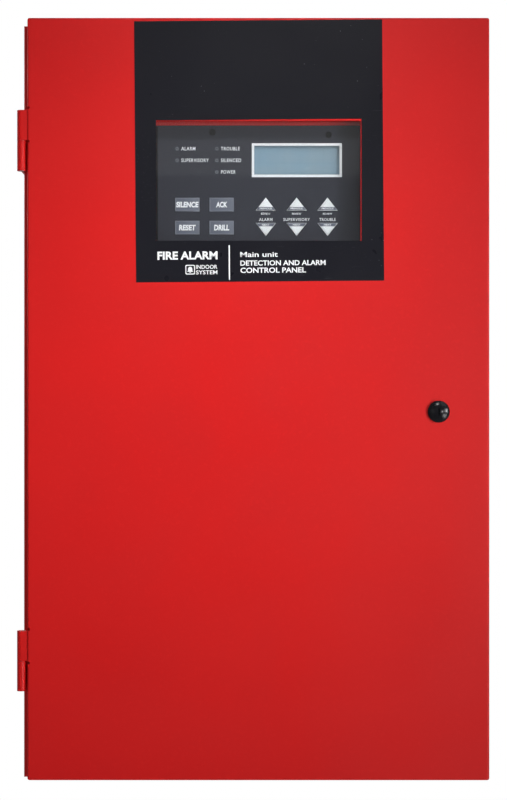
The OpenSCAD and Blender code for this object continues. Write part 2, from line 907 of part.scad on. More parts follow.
module heat_sink() color("gray") on_board() translate([-88, 0, 10]) {
    fins = 7;
    fin_pitch = 5;
    base_t = 4;
    fin_len = 22;
    block([-fins * fin_pitch / 2, board_front - 32, 0], [fins * fin_pitch / 2, board_front, base_t]);
    for (k = [0 : fins - 1]) {
        x = (k - (fins - 1) / 2) * fin_pitch;
        block([x - 0.8, board_front - 32, base_t - 1], [x + 0.8, board_front, base_t + fin_len]);
    }
}

module fuses() color("lightgrey") on_board() {
    for (n = [0 : 1]) translate([-96 + 16 * n, 0, -22]) {
        for (z = [-1, 1]) component(0, z * 9, 7, 5, 5);
        translate([0, board_front - 6, 0]) cylinder(d = 5.2, h = 20, center = true);
    }
}

module phone_jacks() color("black") on_board() {
    for (n = [0 : 1]) difference() {
        component(-104 + 22 * n, board_h / 2 - 9, 16, 18, 14);
        block([-109 + 22 * n, board_front - 11, board_h / 2 - 12],
            [-99 + 22 * n, board_front - 3, board_h / 2 + over]);
    }
}

module sounder() color("black") on_board() difference() {
    rod(44, 72, board_front, board_front - 10, 12);
    rod(44, 72, board_front - 8, board_front - 10 - over, 1.5);
}

module mains_terminal() color("black") {
    ways = 3;
    pitch = 13;
    middle = [-130, 70];
    block([middle[0] - 26, tray_front - 10, middle[1] - 12], [middle[0] + 26, tray_front, middle[1] + 12]);
    for (k = [0 : ways])
        block([middle[0] - 20.5 + k * pitch, tray_front - 18, middle[1] - 12],
            [middle[0] - 18.5 + k * pitch, tray_front - 9, middle[1] + 12]);
}

module earth_terminal() color("gold") {
    x = -130;
    z = 112;
    rod(x, z, tray_front, tray_front - 16, 2.4);
    for (k = [0, 1]) translate([x, tray_front - 4.5 * k, z]) rotate([90, 0, 0])
        cylinder(r = 5, h = 3.5, $fn = 6);
}

// ---- Transformer: laminations in a side view, stacked across the panel ----

module on_trafo() {
    translate([trafo_x, tray_front, trafo_z]) children();
}

module transformer_core() color("dimgray") on_trafo() {
    difference() {
        block([-core_stack / 2, -core_tall, -core_len / 2], [core_stack / 2, 0, core_len / 2]);
        for (s = [0, 1]) mirror([0, 0, s])
            block([-core_stack / 2 - over, -4 * leg_w, leg_w],
                [core_stack / 2 + over, -leg_w, 2 * leg_w]);
    }
}

module transformer_coil() color("goldenrod") on_trafo() {
    slack = 0.3;
    difference() {
        block([-core_stack / 2 - coil_wall, slack - 4 * leg_w, slack - 2 * leg_w],
            [core_stack / 2 + coil_wall, -leg_w - slack, 2 * leg_w - slack]);
        block([-core_stack / 2, -core_tall, -leg_w], [core_stack / 2, 0, leg_w]);
    }
}

module transformer_strap() color("silver") on_trafo() {
    half = core_len / 2;
    block([-core_stack / 2, -core_tall - tray_t, -half - tray_t],
        [core_stack / 2, -core_tall, half + tray_t]);
    for (s = [0, 1]) mirror([0, 0, s]) {
        block([-core_stack / 2, -core_tall, half], [core_stack / 2, 0, half + tray_t]);
        block([-core_stack / 2, -tray_t, half + tray_t],
            [core_stack / 2, 0, half + tray_t + strap_foot]);
    }
}

module transformer_leads() color("orange") {
    for (route = trafo_routes) tube(route, 1.2);
}

// ---- Batteries ----

module battery(side) color("darkslategray") {
    x = side * (battery_w + battery_gap) / 2;
    lid_h = 22;
    seam = 1;
    body_top = battery_top - lid_h;
    translate([x, battery_rear, 0]) {
        block([-battery_w / 2, -battery_d, battery_bottom], [battery_w / 2, 0, body_top - seam]);
        block([1 - battery_w / 2, 1 - battery_d, body_top - seam - over],
            [battery_w / 2 - 1, -1, body_top + over]);
        block([-battery_w / 2, -battery_d, body_top], [battery_w / 2, 0, battery_top]);
    }
}

module battery_left() battery(-1);
module battery_right() battery(1);

module battery_terminals() color("silver") {
    for (x = [-terminal_far_x, -terminal_x, terminal_x, terminal_far_x])
        block([x - 5, terminal_y - 4, battery_top], [x + 5, terminal_y + 4, terminal_top]);
}

module battery_lead_red() color("red") tube(red_route, lead_r);
module battery_lead_black() color("black") tube(black_route, lead_r);
module battery_jumper() color("black") tube(jumper_route, lead_r);

// ---- Flat cable from the display to the circuit board ----

// Step of length r at right angles to a flat path
function beside(path, i, r) = let (d = unit(heading(path, i))) [-d[1] * r, d[0] * r];

module ribbon_cable() color("gray") {
    path = curve(ribbon_route, 4);
    n = len(path);
    plug_d = 8.4;
    band = concat(
        [for (i = [0 : n - 1]) path[i] + beside(path, i, ribbon_t / 2)],
        [for (i = [n - 1 : -1 : 0]) path[i] - beside(path, i, ribbon_t / 2)]
    );
    translate([ribbon_x - ribbon_w / 2, 0, 0]) rotate([90, 0, 90]) linear_extrude(ribbon_w)
        polygon(band);
    block([ribbon_x - ribbon_w / 2 - 2, display_board_back, 136],
        [ribbon_x + ribbon_w / 2 + 2, display_board_back + plug_d, 144]);
    block([ribbon_x - ribbon_w / 2 - 2, ribbon_route[6][0], 100],
        [ribbon_x + ribbon_w / 2 + 2, board_front, 108]);
}

back_wrap();
top_plate();
bottom_plate();
front_frame();
hinge_box_leaves();
hinge_pins();
earth_terminal();
board_tray();
chassis_screws();
main_board();
board_standoffs();
board_screws();
terminal_blocks();
relays();
capacitors();
logic_chips();
heat_sink();
fuses();
phone_jacks();
sounder();
mains_terminal();
transformer_core();
transformer_coil();
transformer_strap();
transformer_leads();
battery_left();
battery_right();
battery_terminals();
battery_lead_red();
battery_lead_black();
battery_jumper();
display_bracket();
display_board();
display_faceplate();
status_leds();
lcd_board();
lcd_frame();
lcd_glass();
tact_switches();
ribbon_cable();
door_panel();
hinge_door_leaves();
door_overlay();
window_pane();
window_nuts();
lock_housing();
lock_nut();
lock_plug();
lock_cam();
lock_cam_screw();
key_silence();
key_ack();
key_reset();
key_drill();
key_alarm_up();
key_alarm_down();
key_supervisory_up();
key_supervisory_down();
key_trouble_up();
key_trouble_down();
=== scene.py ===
"""Looks of a wall-mounted fire alarm control panel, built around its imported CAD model.

Shapes are given in millimetres in the panel's own frame: +X right, +Z up, the door
faces -Y. Helpers turn them into metres.
"""
import math
import random

import bmesh
import bpy
from mathutils import Matrix, Vector


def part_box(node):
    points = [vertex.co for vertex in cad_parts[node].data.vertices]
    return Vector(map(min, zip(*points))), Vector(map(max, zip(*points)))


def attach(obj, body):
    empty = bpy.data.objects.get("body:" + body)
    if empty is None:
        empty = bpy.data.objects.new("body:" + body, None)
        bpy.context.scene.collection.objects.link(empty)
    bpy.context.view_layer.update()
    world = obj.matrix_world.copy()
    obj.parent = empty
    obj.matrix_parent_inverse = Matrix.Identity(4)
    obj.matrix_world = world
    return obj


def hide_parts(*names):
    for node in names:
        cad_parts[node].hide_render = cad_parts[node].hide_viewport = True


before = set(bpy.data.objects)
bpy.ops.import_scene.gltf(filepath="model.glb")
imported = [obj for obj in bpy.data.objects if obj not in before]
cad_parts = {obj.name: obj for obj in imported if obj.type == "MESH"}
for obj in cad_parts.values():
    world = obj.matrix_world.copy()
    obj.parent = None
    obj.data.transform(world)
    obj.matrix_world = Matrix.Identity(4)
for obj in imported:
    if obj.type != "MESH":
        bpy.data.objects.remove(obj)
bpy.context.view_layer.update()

MM = 0.001
PRINT = 0.03        # thickness of printing, in millimetres
FORWARD = (0, -1, 0)
SEED_SCREWS = 7
SEED_BOARD = 11


# ---- Places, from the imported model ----

def box(node):
    """Lowest and highest corner of a CAD node, in millimetres."""
    low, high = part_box(node)
    return low / MM, high / MM


def middle(node):
    low, high = box(node)
    return (low + high) / 2


def centre(low, high):
    """Middle of a box as seen from the front: x and z."""
    return (low.x + high.x) / 2, (low.z + high.z) / 2


def extent(verts):
    """Lowest and highest corner of the box round some vertices."""
    return [Vector([pick(v.co[k] for v in verts) for k in range(3)]) for pick in (min, max)]


def solids(node):
    """Boxes of the separate solids in a CAD node, in millimetres, from the top left."""
    bm = bmesh.new()
    bm.from_mesh(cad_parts[node].data)
    bmesh.ops.remove_doubles(bm, verts=bm.verts, dist=1e-6)
    left = set(bm.verts)
    found = []
    while left:
        island, edge = [], [left.pop()]
        while edge:
            v = edge.pop()
            island.append(v)
            near = {link.other_vert(v) for link in v.link_edges} & left
            left -= near
            edge += near
        found.append([corner / MM for corner in extent(island)])
    bm.free()
    return sorted(found, key=lambda b: (-round(b[0].z), round(b[0].x)))


DOOR_FACE = box("door_panel")[0].y
LABEL = middle("door_overlay")
LABEL_FRONT = box("door_overlay")[0].y
LABEL_TILT = math.radians(0.45)
PLATE = middle("display_faceplate")
PLATE_FRONT = box("display_faceplate")[0].y
BOARD = middle("main_board")
BOARD_FRONT = box("main_board")[0].y
TRAY_FRONT = box("board_tray")[0].y


# ---- Camera and lights ----

EYE_DISTANCE = 1500
EYE = Vector((-2.4, DOOR_FACE - EYE_DISTANCE, -33.5))
LENS = 76.8
LENS_SHIFT = (0.0042, 0.0490)
AMBIENT = 0.187


def make_camera():
    data = bpy.data.cameras.new("camera")
    data.lens = LENS
    data.shift_x, data.shift_y = LENS_SHIFT
    data.clip_start, data.clip_end = 0.05, 50
    camera = bpy.data.objects.new("camera", data)
    camera.location = EYE * MM
    camera.rotation_euler = (math.pi / 2, 0, 0)
    bpy.context.scene.collection.objects.link(camera)
    bpy.context.scene.camera = camera


def soft_light(name, place, target, size, watts, beam=180):
    """Square light at place, turned to target, both in millimetres; beam in degrees."""
    data = bpy.data.lights.new(name, "AREA")
    data.shape, data.size, data.energy = "SQUARE", size * MM, watts
    data.spread = math.radians(beam)
    light = bpy.data.objects.new(name, data)
    light.location = Vector(place) * MM
    aim = Vector(target) - Vector(place)
    light.rotation_euler = aim.to_track_quat("-Z", "Y").to_euler()
    light.visible_camera = False
    bpy.context.scene.collection.objects.link(light)


def make_lights():
    """Soft light from above and from the right, so the rim left of the door is in shadow."""
    soft_light("high", (900, -1300, 1000), (0, 0, 60), 700, 1.9)
    soft_light("window_beam", (30, -1550, 1150), (5, -100, 175), 300, 0.10, 15)
    soft_light("key_top", (200, -1650, 1150), (-20, -120, 120), 300, 0.10, 30)
    soft_light("key_right", (1200, -1400, 150), (-130, -120, 60), 400, 0.62, 30)
    soft_light("key_low", (1000, -1400, -500), (-60, -120, -150), 400, 0.67, 50)
    soft_light("fill_left", (-480, -1620, 100), (0, -120, 0), 500, 0.42)
    soft_light("pane_sheen", (0, -2500, 917), (0, 0, 917), 700, 0.34)
    soft_light("lock_glint", (880, -1900, 20), (163, -120, -9), 220, 3.4)
    soft_light("side_left", (-1500, 900, 500), (0, -40, 0), 700, 3)
    soft_light("side_right", (1500, 900, 500), (0, -40, 0), 700, 5)
    soft_light("rear", (-600, 1800, 900), (0, 0, 0), 1000, 26)


def make_world():
    """White behind the object, and a dimmer even light all round."""
    world = bpy.data.worlds.new("studio")
    world.use_nodes = True
    tree = world.node_tree
    tree.nodes.clear()
    out = tree.nodes.new("ShaderNodeOutputWorld")
    mix = tree.nodes.new("ShaderNodeMixShader")
    path = tree.nodes.new("ShaderNodeLightPath")
    tree.links.new(path.outputs["Is Camera Ray"], mix.inputs[0])
    for socket, strength in ((1, AMBIENT), (2, 1.0)):
        light = tree.nodes.new("ShaderNodeBackground")
        light.inputs["Color"].default_value = (1, 1, 1, 1)
        light.inputs["Strength"].default_value = strength
        tree.links.new(light.outputs[0], mix.inputs[socket])
    tree.links.new(mix.outputs[0], out.inputs[0])
    bpy.context.scene.world = world
    bpy.context.scene.view_settings.view_transform = "Standard"


make_camera()
make_lights()
make_world()


# ---- Shapes ----

def turn_to(direction):
    """Rotation that takes +Z to this direction."""
    return Vector((0, 0, 1)).rotation_difference(Vector(direction)).to_matrix().to_4x4()


def bridge(part, a, b, mat=0):
    """Faces between two rings of points; a ring of one point is a tip."""
    count = max(len(a), len(b))
    for k in range(count):
        j = (k + 1) % count
        corners = [a[k % len(a)], a[j % len(a)], b[j % len(b)], b[k % len(b)]]
        corners = list(dict.fromkeys(corners))
        if len(corners) > 2:
            part.faces.new(corners).material_index = mat


def placed(x, y, z, turn=0.0):
    """Moves a shape to a place, after a turn in the plane of the door, in radians."""
    return Matrix.Translation((x, y, z)) @ Matrix.Rotation(turn, 4, "Y")


def round_edges(part, radius):
    """Rounds the sharp edges of a bmesh."""
    if radius <= 0:
        return
    sharp = [e for e in part.edges if e.is_manifold and e.calc_face_angle() > math.radians(30)]
    bmesh.ops.bevel(
        part, geom=sharp, offset=radius, offset_type="OFFSET", segments=2,
        profile=0.5, affect="EDGES", clamp_overlap=True,
    )


class Shape:
    """Closed shells gathered into one mesh, in millimetres. A material is its number."""

    def __init__(self):
        self.bm = bmesh.new()

    def take(self, part, mat=0, place=None):
        """Adds another bmesh, moved by a matrix, and frees it."""
        if mat is not None:
            for face in part.faces:
                face.material_index = mat
        if place is not None:
            bmesh.ops.transform(part, matrix=place, verts=part.verts)
        mesh = bpy.data.meshes.new("part")
        part.to_mesh(mesh)
        part.free()
        self.bm.from_mesh(mesh)
        bpy.data.meshes.remove(mesh)
        return self

    def stamp(self, shape, place, mat=None):
        """Adds a copy of another Shape, with its own materials or all in one."""
        return self.take(shape.bm.copy(), mat, place)

    def block(self, low, high, soft=0.2, mat=0, place=None):
        """Box between two opposite corners, with its edges rounded."""
        low, high = Vector(low), Vector(high)
        part = bmesh.new()
        bmesh.ops.create_cube(part, size=1)
        size = high - low
        for v in part.verts:
            v.co = v.co * size + (low + high) / 2
        round_edges(part, min(soft, 0.45 * min(size)))
        return self.take(part, mat, place)

    def tile(self, spot, half, back, front, soft=0.2, mat=0, place=None):
        """Box round a spot seen from the front, with these half sizes, between two depths."""
        (x, z), (w, h) = spot, half
        return self.block((x - w, front, z - h), (x + w, back, z + h), soft, mat, place)

    def rod(self, start, end, radius, soft=0.1, sides=24, mat=0, place=None):
        """Round bar with rounded rims."""
        start, end = Vector(start), Vector(end)
        length = (end - start).length
        soft = min(soft, 0.45 * length, 0.45 * radius)
        profile = [(0, 0), (radius, 0), (radius, length), (0, length)]
        if soft:
            profile[1:3] = [(radius - soft, 0), (radius, soft),
                            (radius, length - soft), (radius - soft, length)]
        return self.lathe(profile, start, sides, None, end - start, mat, place)

    def lathe(self, profile, start, sides, mats=None, direction=FORWARD, mat=0, place=None):
        """Solid of revolution: (radius, height) points from the axis back to the axis."""
        part = bmesh.new()
        rings = []
        for radius, height in profile:
            angles = [math.tau * k / sides for k in range(sides)] if radius > 0 else [0]
            rings.append([
                part.verts.new((radius * math.cos(a), radius * math.sin(a), height)) for a in angles
            ])
        for n, (a, b) in enumerate(zip(rings, rings[1:])):
            bridge(part, a, b, mats[n] if mats else mat)
        bmesh.ops.recalc_face_normals(part, faces=part.faces)
        stand = Matrix.Translation(Vector(start)) @ turn_to(direction)
        return self.take(part, None, stand if place is None else place @ stand)

    def prism(self, outline, back, front, soft=0.1, mat=0, place=None):
        """Outline of (x, z) points, between two depths."""
        part = bmesh.new()
        face = part.faces.new([part.verts.new((x, back, z)) for x, z in outline])
        grown = bmesh.ops.extrude_face_region(part, geom=[face])["geom"]
        moved = [v for v in grown if isinstance(v, bmesh.types.BMVert)]
        bmesh.ops.translate(part, verts=moved, vec=(0, front - back, 0))
        bmesh.ops.recalc_face_normals(part, faces=part.faces)
        round_edges(part, soft)
        return self.take(part, mat, place)

    def ring_prism(self, outer, inner, back, front, mat=0, place=None):
        """Two outlines with as many points each, as a frame between two depths."""
        part = bmesh.new()
        rows = [
            [part.verts.new((x, y, z)) for x, z in outline]
            for outline, y in ((outer, back), (outer, front), (inner, front), (inner, back))
        ]
        for n in range(4):
            bridge(part, rows[n], rows[(n + 1) % 4])
        bmesh.ops.recalc_face_normals(part, faces=part.faces)
        return self.take(part, mat, place)

    def tube(self, path, radius, sides=12, mat=0, place=None):
        """Round tube along points that lie close together, closed at both ends."""
        part = bmesh.new()
        path = [Vector(p) for p in path]
        side = Vector((0.31, 0.87, 0.38))
        rings = []
        for n, p in enumerate(path):
            ahead = (path[min(n + 1, len(path) - 1)] - path[max(n - 1, 0)]).normalized()
            side = (side - ahead * side.dot(ahead)).normalized()
            up = ahead.cross(side)
            rings.append([
                part.verts.new(p + radius * (side * math.cos(a) + up * math.sin(a)))
                for a in (math.tau * k / sides for k in range(sides))
            ])
        for a, b in zip(rings, rings[1:]):
            bridge(part, a, b)
        part.faces.new(rings[0][::-1])
        part.faces.new(rings[-1])
        bmesh.ops.recalc_face_normals(part, faces=part.faces)
        return self.take(part, mat, place)

    def words(self, text, left, base, front, height, width, weight, slant=0.0,
              middle=False, mat=0, place=None, thick=PRINT, spacing=1.0):
        """Flat lettering that faces -Y, with this height and width."""
        curve = bpy.data.curves.new("words", "FONT")
        curve.body, curve.extrude, curve.space_character = text, 0.01, spacing
        curve.offset, curve.shear, curve.resolution_u = weight, slant, 3
        holder = bpy.data.objects.new("words", curve)
        bpy.context.scene.collection.objects.link(holder)
        seen = holder.evaluated_get(bpy.context.evaluated_depsgraph_get())
        mesh = bpy.data.meshes.new_from_object(seen)
        part = bmesh.new()
        part.from_mesh(mesh)
        bpy.data.objects.remove(holder)
        bpy.data.curves.remove(curve)
        bpy.data.meshes.remove(mesh)
        bmesh.ops.remove_doubles(part, verts=part.verts, dist=1e-5)
        low, high = extent(part.verts)
        tall, wide = height / (high.y - low.y), width / (high.x - low.x)
        start = left - (width / 2 if middle else 0)
        for v in part.verts:
            v.co = Vector((
                start + (v.co.x - low.x) * wide,
                front - thick * (v.co.z - low.z) / (high.z - low.z),
                base + (v.co.y - low.y) * tall,
            ))
        bmesh.ops.recalc_face_normals(part, faces=part.faces)
        return self.take(part, mat, place)


def carved(shape, cutter):
    """The first Shape with the second one cut out of it, keeping the materials."""
    made = []
    for each in (shape, cutter):
        mesh = bpy.data.meshes.new("cut")
        each.bm.to_mesh(mesh)
        made.append(bpy.data.objects.new("cut", mesh))
        bpy.context.scene.collection.objects.link(made[-1])
    change = made[0].modifiers.new("cut", "BOOLEAN")
    change.operation, change.solver, change.object = "DIFFERENCE", "EXACT", made[1]
    seen = made[0].evaluated_get(bpy.context.evaluated_depsgraph_get())
    mesh = bpy.data.meshes.new_from_object(seen)
    result = Shape()
    result.bm.from_mesh(mesh)
    for each in made:
        data = each.data
        bpy.data.objects.remove(each)
        bpy.data.meshes.remove(data)
    bpy.data.meshes.remove(mesh)
    return result


def piece(name, shape, materials, replaced=None, body="cabinet"):
    """Turns a Shape into a piece on a body, in place of a CAD node if one is given.
    """
    mesh = bpy.data.meshes.new(name)
    bmesh.ops.scale(shape.bm, vec=(MM, MM, MM), verts=shape.bm.verts)
    for face in shape.bm.faces:
        face.smooth = True
    for edge in shape.bm.edges:
        if len(edge.link_faces) == 2:
            edge.smooth = edge.calc_face_angle() < math.radians(35)
    shape.bm.to_mesh(mesh)
    shape.bm.free()
    for material in materials:
        mesh.materials.append(material)
    thing = bpy.data.objects.new(name, mesh)
    bpy.context.scene.collection.objects.link(thing)
    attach(thing, body)
    if replaced:
        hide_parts(replaced)


def smooth_path(points, steps):
    """Points along a smooth curve through a route."""
    points = [Vector(p) for p in points]
    path = []
    for n in range(len(points) - 1):
        a, b, c, d = (points[max(0, min(len(points) - 1, n + k))] for k in (-1, 0, 1, 2))
        for s in range(steps):
            t = s / steps
            path.append(0.5 * (
                2 * b + (c - a) * t + (2 * a - 5 * b + 4 * c - d) * t * t
                + (3 * b - a - 3 * c + d) * t ** 3
            ))
    return path + [points[-1]]


def arc(x, z, radius, start, end, steps):
    """Points of an arc in the plane of the door, with angles in degrees."""
    angles = [math.radians(start + (end - start) * k / steps) for k in range(steps + 1)]
    return [(x + radius * math.cos(a), z + radius * math.sin(a)) for a in angles]


def rounded(x, z, half_w, half_h, radius, steps=5):
    """Outline of a rectangle with round corners."""
    outline = []
    for n, (sx, sz) in enumerate(((1, 1), (-1, 1), (-1, -1), (1, -1))):
        corner_x, corner_z = x + sx * (half_w - radius), z + sz * (half_h - radius)
        outline += arc(corner_x, corner_z, radius, 90 * n, 90 * n + 90, steps)
    return outline


# ---- Finishes ----

class Finish:
    """A material built up from procedural layers in the part's own space, in metres."""

    def __init__(self, name, colour, roughness, metallic=0.0, **sockets):
        self.material = bpy.data.materials.new(name)
        self.material.use_nodes = True
        self.material.diffuse_color = (*colour, 1)
        self.tree = self.material.node_tree
        self.tree.nodes.clear()
        self.out = self.add("OutputMaterial")
        self.shader = self.add(
            "BsdfPrincipled", Base_Color=(*colour, 1), Roughness=roughness, Metallic=metallic, **sockets
        )
        self.link(self.shader.outputs[0], self.out.inputs[0])
        self.place = self.add("TexCoord").outputs["Object"]
        self.first, self.colour, self.normal = colour, None, None

    def add(self, kind, **sockets):
        """New node with some input values; in their names an underscore is a space."""
        node = self.tree.nodes.new("ShaderNode" + kind)
        for key, value in sockets.items():
            node.inputs[key.replace("_", " ")].default_value = value
        return node

    def link(self, start, end):
        self.tree.links.new(start, end)

    def pattern(self, node, stretch=None):
        """Feeds a texture with the place on the part, stretched along some axes."""
        place = self.place
        if stretch:
            mapping = self.add("Mapping", Scale=stretch)
            self.link(place, mapping.inputs["Vector"])
            place = mapping.outputs[0]
        self.link(place, node.inputs["Vector"])
        return node

    def noise(self, scale, detail=2.0, stretch=None):
        """Cloudy pattern with this many features a metre."""
        return self.pattern(self.add("TexNoise", Scale=scale, Detail=detail), stretch).outputs["Fac"]

    def cells(self, scale, output):
        """Pattern of cells, this many a metre."""
        return self.pattern(self.add("TexVoronoi", Scale=scale)).outputs[output]

    def bands(self, scale, axis):
        """Pattern of even stripes across an axis."""
        node = self.add("TexWave", Scale=scale)
        node.bands_direction = axis
        return self.pattern(node).outputs["Fac"]

    def span(self, source, low, high, out_low=0.0, out_high=1.0):
        """Takes the range low..high of a pattern to another range, and stops at its ends."""
        node = self.add("MapRange", From_Min=low, From_Max=high, To_Min=out_low, To_Max=out_high)
        self.link(source, node.inputs["Value"])
        return node.outputs[0]

    def times(self, a, b):
        node = self.add("Math")
        node.operation = "MULTIPLY"
        self.link(a, node.inputs[0])
        self.link(b, node.inputs[1])
        return node.outputs[0]

    def tint(self, factor, colour):
        """Lays another colour over the surface where the pattern is high."""
        node = self.add("Mix")
        node.data_type = "RGBA"
        self.link(factor, node.inputs["Factor"])
        if self.colour is None:
            node.inputs[6].default_value = (*self.first, 1)
        else:
            self.link(self.colour, node.inputs[6])
        node.inputs[7].default_value = (*colour, 1)
        self.colour = node.outputs[2]
        self.link(self.colour, self.shader.inputs["Base Color"])

    def rough(self, pattern, low, high):
        """Lets the roughness follow a pattern, between two values."""
        self.link(self.span(pattern, 0.25, 0.75, low, high), self.shader.inputs["Roughness"])

    def face_along(self, node):
        """Shades the surface along the normals that a node gives."""
        self.normal = node.outputs[0]
        self.link(self.normal, self.shader.inputs["Normal"])

    def turned(self, radius):
        """Node for the normals of edges rounded to this radius, in millimetres."""
        node = self.add("Bevel", Radius=radius * MM)
        node.samples = 4
        return node

    def soft_edges(self, radius):
        """Shades the edges as if they were rounded."""
        self.face_along(self.turned(radius))

    def bump(self, pattern, depth):
        """Relief of this depth, in millimetres."""
        node = self.add("Bump", Distance=depth * MM)
        self.link(pattern, node.inputs["Height"])
        if self.normal is not None:
            self.link(self.normal, node.inputs["Normal"])
        self.face_along(node)

    def edge_mask(self, radius):
        """High where the surface turns within this distance."""
        dot = self.add("VectorMath")
        dot.operation = "DOT_PRODUCT"
        self.link(self.turned(radius).outputs[0], dot.inputs[0])
        self.link(self.add("NewGeometry").outputs["Normal"], dot.inputs[1])
        return self.span(dot.outputs["Value"], 0.99, 0.86)

    def mirror_share(self):
        """Share of light a clear surface reflects, from 0.04 face on to 1 at grazing."""
        facing, power = self.add("LayerWeight", Blend=0.5), self.add("Math")
        power.operation = "POWER"
        self.link(facing.outputs["Facing"], power.inputs[0])
        power.inputs[1].default_value = 5
        return self.span(power.outputs[0], 0, 1, 0.04, 1)

    def mixed(self, share, first, second):
        """Two shaders mixed, with this share of the second."""
        node = self.add("MixShader")
        for source, socket in zip((share, first, second), node.inputs):
            self.link(source, socket)
        return node.outputs[0]


def red_paint():
    """Powder coat: a slight orange peel, faint clouds, and edges lightened in patches, partly as wear and
    partly as a painted highlight.
    """
    f = Finish("red_paint", (0.67, 0.0085, 0.0080), 0.42, Specular_IOR_Level=0.22)
    f.tint(f.span(f.noise(4.5, 3), 0.35, 0.7), (0.61, 0.0075, 0.008))
    f.tint(f.span(f.noise(310, 2), 0.55, 0.8, 0, 0.35), (0.72, 0.014, 0.012))
    # Lighter red in patches along the edges: partly wear, partly a painted highlight of the edges
    worn_and_lit_edges = f.times(f.edge_mask(0.5), f.span(f.noise(120, 3), 0.5, 0.75, 0, 0.5))
    f.tint(worn_and_lit_edges, (0.74, 0.06, 0.05))
    f.rough(f.noise(16, 4), 0.36, 0.47)
    f.soft_edges(0.35)
    f.bump(f.noise(620, 1.5), 0.012)
    return f.material


def label_film():
    """Black satin film with dust specks of two sizes and fine scuffs."""
    f = Finish("black_label", (0.0070, 0.0070, 0.0115), 0.30, Specular_IOR_Level=0.2)
    f.tint(f.span(f.noise(7, 3), 0.35, 0.75), (0.0090, 0.0090, 0.0140))
    for scale, size, cloud, colour in ((170, 0.07, 31, (0.20, 0.21, 0.23)),
                                       (420, 0.10, 17, (0.09, 0.09, 0.10))):
        dots = f.span(f.cells(scale, "Distance"), size, 0.6 * size)
        f.tint(f.times(dots, f.span(f.noise(cloud, 2), 0.56, 0.66)), colour)
    scuffs = f.span(f.noise(60, 3, (1, 1, 14)), 0.66, 0.72, 0, 0.35)
    f.tint(f.times(scuffs, f.span(f.noise(9, 2), 0.5, 0.65)), (0.06, 0.06, 0.07))
    f.rough(f.noise(24, 4), 0.26, 0.34)
    f.bump(f.noise(1500, 1), 0.002)
    return f.material


def printed_plate():
    """Dark grey printed overlay of the faceplate."""
    f = Finish("faceplate_grey", (0.0200, 0.0215, 0.0330), 0.5, Specular_IOR_Level=0.25)
    f.tint(f.span(f.noise(14, 4), 0.35, 0.7), (0.0235, 0.0250, 0.0375))
    f.tint(f.span(f.noise(900, 1), 0.6, 0.8, 0, 0.3), (0.036, 0.038, 0.047))
    f.rough(f.noise(40, 3), 0.44, 0.56)
    f.soft_edges(0.2)
    f.bump(f.noise(1300, 1), 0.006)
    return f.material


def see_through(name, colour, clear, scratched=False):
    """Clear sheet or tube, with a sharp reflection that grows towards grazing views."""
    f = Finish(name, colour, 0.05)
    glass = f.add("BsdfTransparent", Color=(*clear, 1))
    gloss = f.add("BsdfGlossy", Roughness=0.03)
    surface = f.mixed(f.mirror_share(), glass.outputs[0], gloss.outputs[0])
    if scratched:
        veil = f.add("BsdfDiffuse", Color=(0.8, 0.82, 0.85, 1))
        scratches = f.span(f.noise(90, 4, (1, 1, 9)), 0.68, 0.8, 0.004, 0.06)
        surface = f.mixed(scratches, surface, veil.outputs[0])
    f.link(surface, f.out.inputs[0])
    f.tree.nodes.remove(f.shader)
    return f.material


def plated(name, colour, roughness, grain=(1, 1, 1)):
    """Plated or drawn metal with a faint grain and stains."""
    f = Finish(name, colour, roughness, 1.0)
    f.tint(f.span(f.noise(90, 4), 0.45, 0.8, 0, 0.6), tuple(0.72 * c for c in colour))
    f.rough(f.noise(260, 3, grain), roughness - 0.08, roughness + 0.1)
    f.soft_edges(0.12)
    f.bump(f.noise(900, 2, grain), 0.006)
    return f.material


def galvanised():
    """Zinc-coated sheet with its crystal spangle."""
    f = Finish("galvanised", (0.50, 0.52, 0.53), 0.4, 1.0)
    f.tint(f.span(f.cells(140, "Color"), 0.2, 0.9, 0, 0.5), (0.60, 0.62, 0.63))
    f.tint(f.span(f.noise(30, 4), 0.5, 0.75, 0, 0.25), (0.45, 0.46, 0.47))
    f.rough(f.cells(140, "Color"), 0.38, 0.46)
    f.soft_edges(0.15)
    f.bump(f.noise(420, 2), 0.01)
    return f.material


def moulded(name, colour, roughness, grain=0.012, scale=1100, shade=0.82, **sockets):
    """Moulded plastic with a fine grain and patches of a slightly darker shade."""
    f = Finish(name, colour, roughness, **sockets)
    f.tint(f.span(f.noise(35, 3), 0.4, 0.75), tuple(shade * c for c in colour))
    f.rough(f.noise(150, 3), max(0.02, roughness - 0.07), roughness + 0.08)
    f.soft_edges(0.15)
    f.bump(f.noise(scale, 1.5), grain)
    return f.material


def board_mask():
    """Green solder mask over glass cloth, with copper areas showing through."""
    f = Finish("board_green", (0.010, 0.115, 0.045), 0.32, Specular_IOR_Level=0.5)
    f.tint(f.span(f.noise(26, 1.5), 0.50, 0.53), (0.016, 0.165, 0.066))
    f.tint(f.span(f.noise(900, 1), 0.5, 0.8, 0, 0.35), (0.02, 0.19, 0.08))
    f.rough(f.noise(70, 3), 0.26, 0.40)
    f.bump(f.bands(1900, "X"), 0.004)
    return f.material


def printed_ink(name, colour):
    """Screen-printed ink, slightly uneven."""
    f = Finish(name, colour, 0.45)
    f.tint(f.span(f.noise(420, 2), 0.5, 0.8, 0, 0.5), tuple(0.90 * c for c in colour))
    f.rough(f.noise(300, 2), 0.4, 0.55)
    f.bump(f.noise(1600, 1), 0.004)
    return f.material


